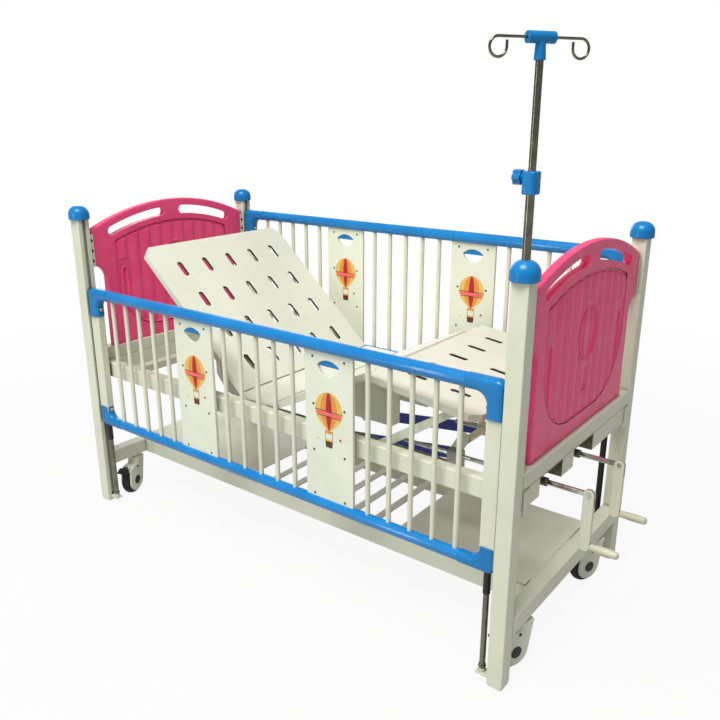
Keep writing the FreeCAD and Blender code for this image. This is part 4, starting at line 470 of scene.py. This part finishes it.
def reliefHeight(y, z, edge, below):
    # height over the bottom of the recess, edge and below are distances from its rim and from its arch
    r = relief
    side = np.abs(y)
    share = np.mod(y / r["flutePitch"], 1.0)
    height = r["floor"] + r["fluteRise"] * np.sin(math.pi * share ** r["fluteLean"]) ** r["fluteFullness"]
    notch = r["notchLow"] + (r["notchHigh"] - r["notchLow"]) * share
    height = height * np.clip((below - notch) / r["notchSoft"], 0.0, 1.0)
    height = np.where((side > r["plainFrom"]) & (z < r["dashZ"]), r["plainHeight"], height)

    # a loop and a dash on each side
    loop = capsule(side, z, (r["loopY"], r["loopLow"]), (r["loopY"], r["loopHigh"]))
    height = np.where(loop < r["loopRadius"], 0.0, height)
    height = np.maximum(height, bead(loop - r["loopRadius"], r["loopBead"], r["loopHeight"]))
    dash = capsule(side, z, (r["loopY"] - r["dashHalf"], r["dashZ"]), (r["loopY"] + r["dashHalf"], r["dashZ"]))
    height = np.maximum(height, bead(dash, r["loopBead"], r["loopHeight"]))

    # the balloon: envelope, gores, basket and ropes
    rise = (z - r["balloonZ"]) / r["balloonTall"]
    wide = r["balloonWide"] * (1.0 - r["balloonTaper"] * np.clip(-rise, 0.0, 1.0) ** r["balloonCurve"])
    reach = np.hypot(y / wide, rise)
    dome = r["balloonFloor"] + r["balloonDome"] * np.sqrt(np.clip(1.0 - reach, 0.0, 1.0))
    height = np.where(reach < 1.0, dome, height)
    height = np.maximum(height, bead((reach - 1.0) * wide, r["edgeBead"], r["ribHeight"]))
    for goreShare in r["goreShares"]:
        gore = np.hypot(y / (wide * goreShare), rise)
        rib = bead((gore - 1.0) * wide * goreShare, r["goreBead"], r["goreHeight"])
        height = np.maximum(height, np.where(reach < 1.0, rib, 0.0))
    basket = np.maximum(side - r["basketHalf"][0], np.abs(z - r["basketZ"]) - r["basketHalf"][1])
    height = np.where(basket < 0.0, r["basketHeight"], height)
    height = np.maximum(height, bead(basket, r["basketBead"], r["ribHeight"]))
    ropes = capsule(side, z, r["ropeTop"], r["ropeFoot"])
    height = np.maximum(height, bead(ropes, r["goreBead"], r["ropeHeight"]))

    rim = bead(edge - r["rimInset"], r["rimHalf"], r["rimHeight"])
    nearRim = edge < r["rimInset"] + r["rimHalf"]
    height = np.where(nearRim, np.where(below > r["rimBelowArch"], rim, 0.0), height)
    return np.maximum(height, r["skin"])


def makeRelief(name, sign, outer):
    # a sheet that fills the recess of one face
    r = relief
    lift = 1.0 if outer else -1.0
    floorX = (r["outerX"] if outer else r["innerX"]) - lift * r["depth"]
    corner = circleThrough((r["fieldHalf"], r["sweepEnd"]), r["sweepMiddle"], (r["flatHalf"], r["fieldLow"]))
    away = 1.0  # a distance too large to shape anything
    points = []
    for y in np.linspace(-r["fieldHalf"], r["fieldHalf"], r["columns"]):
        side = abs(y)
        low = r["fieldLow"]
        if side > r["flatHalf"]:
            low = corner[1] - math.sqrt(max(corner[2] ** 2 - (side - corner[0]) ** 2, 0.0)) + r["sweepGap"]
        high = r["arcCentre"] + math.sqrt(r["topRadius"] ** 2 - y * y)
        zs = np.linspace(low, high, r["rows"])
        # the sweep's distance is taken along its own radius, as the rim bead follows the curve
        sweep = np.full(r["rows"], away)
        if side > r["flatHalf"]:
            sweep = np.abs(corner[2] - np.hypot(side - corner[0], zs - corner[1]))
        fromLow = np.minimum(zs - low, np.where(zs < r["sweepEnd"], sweep, away))
        edge = np.minimum(np.minimum(fromLow, high - zs), r["fieldHalf"] - side)
        heights = reliefHeight(np.full(r["rows"], y), zs, edge, high - zs)
        points += [(sign * (floorX + lift * h), float(y), float(z)) for h, z in zip(heights, zs)]
    faces = []
    rows = r["rows"]
    for column in range(r["columns"] - 1):
        for row in range(rows - 1):
            a = column * rows + row
            quad = (a, a + rows, a + rows + 1, a + 1)
            faces.append(quad if sign * lift > 0.0 else quad[::-1])
    pieces = Pieces()
    pieces.add(points, faces)
    return pieces.build(name, [pinkPlastic], "frame")


for boardName, sign in (("footboard", 1.0), ("headboard", -1.0)):
    makeRelief(boardName + "_relief_outer", sign, True)
    makeRelief(boardName + "_relief_inner", sign, False)
print("board reliefs made")

# side rails: printed balloons and screws on the panels
railSets = {
    "right": {"y": -0.437, "lift": 0.0},
    "left": {"y": 0.437, "lift": 0.225},
}
panel = {"x": 0.314, "half": 0.005, "screwX": 0.063, "screwZ": (0.891, 0.733, 0.575, 0.419),
         "screwRadius": 0.0042, "screwHeight": 0.0016}

# the printed balloon: envelope, trims, basket and stars, measured from its own middle
decal = {"z": 0.690, "lift": 0.00015, "layer": 0.0001, "wide": 0.0560, "tall": 0.064, "middle": 0.028,
         "taper": 0.50, "steps": 28, "bandEdges": (-1.0, -0.62, -0.22, 0.22, 0.62, 1.0),
         "bandInks": ("yellow", "orange", "red", "orange", "yellow"),
         "rope": ((0.0150, -0.045), (0.0166, -0.045), (0.0130, -0.070), (0.0114, -0.070)),
         "stars": ((0.046, -0.058, 0.0075, "red"), (-0.046, -0.072, 0.006, "yellow")), "starWaist": 0.42}

# level strips of the print: ink, layer, half width and height of the top edge, then of the bottom edge
decalStrips = (
    ("pink", 1, 0.052, 0.026, 0.049, 0.014), ("brown", 2, 0.0555, 0.030, 0.0553, 0.0275),
    ("brown", 2, 0.0475, 0.0125, 0.0462, 0.010), ("orange", 1, 0.017, -0.036, 0.014, -0.046))
basketStrips = (("brown", 0, 0.016, -0.068, 0.013, -0.094), ("yellow", 1, 0.0175, -0.066, 0.0170, -0.072))


def balloonEdge(share):
    # one edge of a gore from top to bottom, share 1 is the envelope's own edge
    points = []
    for i in range(decal["steps"] + 1):
        angle = math.pi * i / decal["steps"]
        drop = max(0.0, -math.cos(angle))
        wide = decal["wide"] * (1.0 - decal["taper"] * drop ** 2.0)
        points.append((share * wide * math.sin(angle), decal["middle"] + decal["tall"] * math.cos(angle)))
    return points


def stripShape(ink, layer, topHalf, top, bottomHalf, bottom):
    return [(-topHalf, top), (topHalf, top), (bottomHalf, bottom), (-bottomHalf, bottom)], ink, layer


def decalShapes():
    # outline, ink and layer of every printed shape
    shapes = []
    for low, high, ink in zip(decal["bandEdges"], decal["bandEdges"][1:], decal["bandInks"]):
        shapes.append((balloonEdge(high) + balloonEdge(low)[::-1], ink, 0))
    shapes += [stripShape(*strip) for strip in decalStrips]
    for side in (-1.0, 1.0):
        shapes.append(([(side * x, z) for x, z in decal["rope"]], "brown", 1))
    shapes += [stripShape(*strip) for strip in basketStrips]
    for x, z, size, ink in decal["stars"]:
        star = []
        for i in range(10):
            reach = size if i % 2 == 0 else size * decal["starWaist"]
            angle = math.pi / 2.0 + math.pi * i / 5.0
            star.append((x + reach * math.cos(angle), z + reach * math.sin(angle)))
        shapes.append((star, ink, 0))
    return shapes


def makeDecal(name, body, x, y, z, out):
    # thin printed layers, each a little over the last, their faces turned outward
    pieces = Pieces()
    keys = list(inks)
    for shape, ink, layer in decalShapes():
        offset = decal["lift"] + decal["layer"] * layer
        points = [(x + a, y + out * offset, z + b) for a, b in shape]
        face = list(range(len(points)))
        area = sum(shape[i][0] * shape[(i + 1) % len(shape)][1] - shape[(i + 1) % len(shape)][0] * shape[i][1]
                   for i in range(len(shape)))
        if (area > 0.0) == (out > 0.0):
            face.reverse()
        pieces.add(points, [face], keys.index(ink))
    return pieces.build(name, [inks[key] for key in keys], body, smooth=False)


for side, rail in railSets.items():
    body = "rail_" + side
    screws = Pieces()
    for panelName, centre in (("head", -panel["x"]), ("foot", panel["x"])):
        for faceName, out in (("a", -1.0), ("b", 1.0)):
            faceY = rail["y"] + out * panel["half"]
            makeDecal("print_" + side + "_" + panelName + "_" + faceName, body, centre, faceY,
                      decal["z"] + rail["lift"], out)
            for dx in (-panel["screwX"], panel["screwX"]):
                for z in panel["screwZ"]:
                    screwHead(screws, (centre + dx, faceY, z + rail["lift"]), (0.0, out, 0.0),
                              panel["screwRadius"], panel["screwHeight"], 0, 1)
    screws.build("panel_screws_" + side, [tealScrew, blackPlastic], body)
print("panel prints and screws made")

# rails: fine seams where tube, sleeve and post meet
seam = {"x": 0.7985, "tubes": ((0.929, 0.0211), (0.390, 0.0191)), "width": 0.0011, "depth": 0.0006,
        "segments": 40}
for side, rail in railSets.items():
    rings = Pieces()
    for x in (-seam["x"], seam["x"]):
        for z, radius in seam["tubes"]:
            place = facing((x, rail["y"], z + rail["lift"]), (1.0, 0.0, 0.0))
            foot = radius - seam["depth"]
            rings.lathe([(foot, -seam["width"]), (radius, -seam["width"] * 0.5), (radius, seam["width"] * 0.5),
                         (foot, seam["width"])], place, 0, seam["segments"])
    rings.build("rail_seams_" + side, [seamShade], "rail_" + side)

# rails: one bright socket screw in the inner side of every corner moulding
cornerScrew = {"x": 0.8634, "zs": (0.866, 0.441), "radius": 0.0068, "height": 0.0035}
for side, rail in railSets.items():
    corners = Pieces()
    for endSign in (-1.0, 1.0):
        for z in cornerScrew["zs"]:
            socketHead(corners, (endSign * cornerScrew["x"], rail["y"], z + rail["lift"]), (-endSign, 0.0, 0.0),
                       cornerScrew["radius"], cornerScrew["height"], 0, 1)
    corners.build("corner_screws_" + side, [reflectionPaintedScrew, blackPlastic], "rail_" + side)
print("seams and corner screws made")

# board brackets: three black screws on the inner face of each
bracketScrew = {"x": 0.9240, "y": 0.408, "zs": (1.050, 1.090, 1.130), "radius": 0.0062, "height": 0.0022}
fasteners = Pieces()
for endSign in (-1.0, 1.0):
    for sideSign in (-1.0, 1.0):
        for z in bracketScrew["zs"]:
            screwHead(fasteners, (endSign * bracketScrew["x"], sideSign * bracketScrew["y"], z),
                      (-endSign, 0.0, 0.0), bracketScrew["radius"], bracketScrew["height"], 0, 0)
fasteners.build("bracket_screws", [blackPlastic], "frame")
print("bracket screws made")

# casters: a black cover in a cream ring over each hub, and a bolt in each cheek. Headings are the swivel angles.
caster = {"x": 0.943, "y": 0.288, "trail": 0.043, "wheelZ": 0.0625, "cover": 0.026, "hubRadius": 0.020,
          "hubProfile": ((1.0, 0.0), (1.0, 0.0014), (0.93, 0.0021), (0.62, 0.0024), (0.30, 0.0026)),
          "ringProfile": ((1.16, 0.0), (1.16, 0.0008), (1.01, 0.0012)), "boltBack": 0.012, "boltUp": 0.058,
          "boltProfile": ((0.0052, 0.0), (0.0052, 0.0012), (0.0035, 0.0018)), "segments": 36, "boltSegments": 18,
          "headings": {"head_right": -69.0, "head_left": -80.0, "foot_right": -112.5, "foot_left": -112.5}}
for corner, heading in caster["headings"].items():
    place = ((1.0 if corner.startswith("foot") else -1.0) * caster["x"],
             (1.0 if corner.endswith("left") else -1.0) * caster["y"], 0.0)
    turn = Matrix.Translation(place) @ Matrix.Rotation(math.radians(heading), 4, "Z")
    covers = Pieces()
    radius = caster["hubRadius"]
    for out in (-1.0, 1.0):
        hub = turn @ facing((caster["trail"], out * caster["cover"], caster["wheelZ"]), (0.0, out, 0.0))
        disc = [(radius * share, height) for share, height in caster["hubProfile"]]
        ring = [(radius * share, height) for share, height in caster["ringProfile"]]
        covers.lathe(disc + [(tipRadius, disc[-1][1])], hub, 0, caster["segments"])
        covers.lathe(ring, hub, 1, caster["segments"])
        bolt = turn @ facing((caster["trail"] - caster["boltBack"], out * caster["cover"],
                              caster["wheelZ"] + caster["boltUp"]), (0.0, out, 0.0))
        covers.lathe([*caster["boltProfile"], (tipRadius, caster["boltProfile"][-1][1])], bolt, 0,
                     caster["boltSegments"])
    covers.build("caster_covers_" + corner, [blackPlastic, creamPlastic], "caster_" + corner)
print("caster covers made")

# floor, light and camera: a large soft lamp high over the right side, a tall strip that puts one bright line on
# every upright tube, a pale panel behind the head end that edges the level tubes, and a dim room
studio = {"floorSize": 60.0, "floorPatch": 0.5, "floorLow": "C4C4C2", "floorHigh": "CACAC8", "floorRough": 0.85,
          "floorShare": 0.92, "nearReach": 1.9, "farReach": 4.2, "ambient": 0.29, "glossRoom": 0.36}
lamps = {"target": (0.0, 0.0, 0.7),
         "keyLight": {"power": 440.0, "size": (3.2, 3.2), "place": (0.60, -2.95, 6.4)},
         "stripLight": {"power": 17.0, "size": (0.26, 2.2), "place": (-1.2, -3.6, 1.1)},
         "backLight": {"power": 80.0, "size": (4.0, 3.0), "place": (-4.2, 3.6, 2.2)}}
view = {"lens": 38.08, "sensor": 36.0, "place": (1.7426, -2.1411, 1.6060), "down": 17.91, "turn": 37.53,
        "farClip": 60.0}
white = (1.0, 1.0, 1.0, 1.0)


def seenRays(tree, glossShare):
    # 1 for what the camera sees or sees through glass, a share of it for reflections
    rays = addNode(tree, "ShaderNodeLightPath")
    seen = addNode(tree, "ShaderNodeMath", [("operation", "MAXIMUM")],
                   [(0, rays.outputs["Is Camera Ray"]), (1, rays.outputs["Is Transmission Ray"])])
    gloss = addNode(tree, "ShaderNodeMath", [("operation", "MULTIPLY"), (1, glossShare)],
                    [(0, rays.outputs["Is Glossy Ray"])])
    return addNode(tree, "ShaderNodeMath", [("operation", "MAXIMUM")],
                   [(0, seen.outputs[0]), (1, gloss.outputs[0])]).outputs[0]


def makeFloor():
    mesh = bpy.data.meshes.new("floor")
    half = studio["floorSize"] / 2.0
    mesh.from_pydata([(-half, -half, 0.0), (half, -half, 0.0), (half, half, 0.0), (-half, half, 0.0)], [],
                     [(0, 1, 2, 3)])
    floor = bpy.data.objects.new("floor", mesh)
    bpy.context.scene.collection.objects.link(floor)
    material, tree, shader, output, place = newMaterial("pale studio floor")
    tree.links.new(colourNoise(tree, place, studio["floorPatch"], studio["floorLow"], studio["floorHigh"]),
                   shader.inputs["Base Color"])
    shader.inputs["Roughness"].default_value = studio["floorRough"]
    # the white of the backdrop, which takes over away from the object
    glow = addNode(tree, "ShaderNodeEmission", [("Color", white), ("Strength", 1.0)])
    reach = addNode(tree, "ShaderNodeVectorMath", [("operation", "LENGTH")], [(0, place)])
    spread = addNode(tree, "ShaderNodeMapRange", [("From Min", studio["nearReach"]),
                                                  ("From Max", studio["farReach"]),
                                                  ("To Min", studio["floorShare"]), ("To Max", 1.0)],
                     [("Value", reach.outputs["Value"])])
    share = addNode(tree, "ShaderNodeMath", [("operation", "MULTIPLY")],
                    [(0, seenRays(tree, studio["glossRoom"])), (1, spread.outputs["Result"])])
    mix = addNode(tree, "ShaderNodeMixShader", links=[(0, share.outputs[0]), (1, shader.outputs[0]),
                                                      (2, glow.outputs[0])])
    tree.links.new(mix.outputs[0], output.inputs["Surface"])
    mesh.materials.append(material)


def makeWorld():
    world = bpy.data.worlds.new("studio")
    world.use_nodes = True
    bpy.context.scene.world = world
    tree = world.node_tree
    tree.nodes.clear()
    gloss = (studio["glossRoom"] - studio["ambient"]) / (1.0 - studio["ambient"])
    strength = addNode(tree, "ShaderNodeMapRange", [("To Min", studio["ambient"]), ("To Max", 1.0)],
                       [("Value", seenRays(tree, gloss))])
    back = addNode(tree, "ShaderNodeBackground", [("Color", white)],
                   [("Strength", strength.outputs["Result"])])
    addNode(tree, "ShaderNodeOutputWorld", links=[("Surface", back.outputs[0])])


def makeLamp(name):
    lamp = lamps[name]
    data = bpy.data.lights.new(name, "AREA")
    data.shape = "RECTANGLE"
    data.size, data.size_y = lamp["size"]
    data.energy = lamp["power"]
    light = bpy.data.objects.new(name, data)
    light.location = lamp["place"]
    aim = Vector(lamps["target"]) - Vector(lamp["place"])
    light.rotation_euler = aim.to_track_quat("-Z", "Y").to_euler()
    bpy.context.scene.collection.objects.link(light)


def makeCamera():
    data = bpy.data.cameras.new("camera")
    data.lens = view["lens"]
    data.sensor_width = view["sensor"]
    data.clip_end = view["farClip"]
    camera = bpy.data.objects.new("camera", data)
    camera.location = view["place"]
    camera.rotation_euler = (math.radians(90.0 - view["down"]), 0.0, math.radians(view["turn"]))
    bpy.context.scene.collection.objects.link(camera)
    bpy.context.scene.camera = camera


makeFloor()
makeWorld()
for name in ("keyLight", "stripLight", "backLight"):
    makeLamp(name)
makeCamera()
bpy.context.scene.view_settings.view_transform = "Standard"
print("studio made")
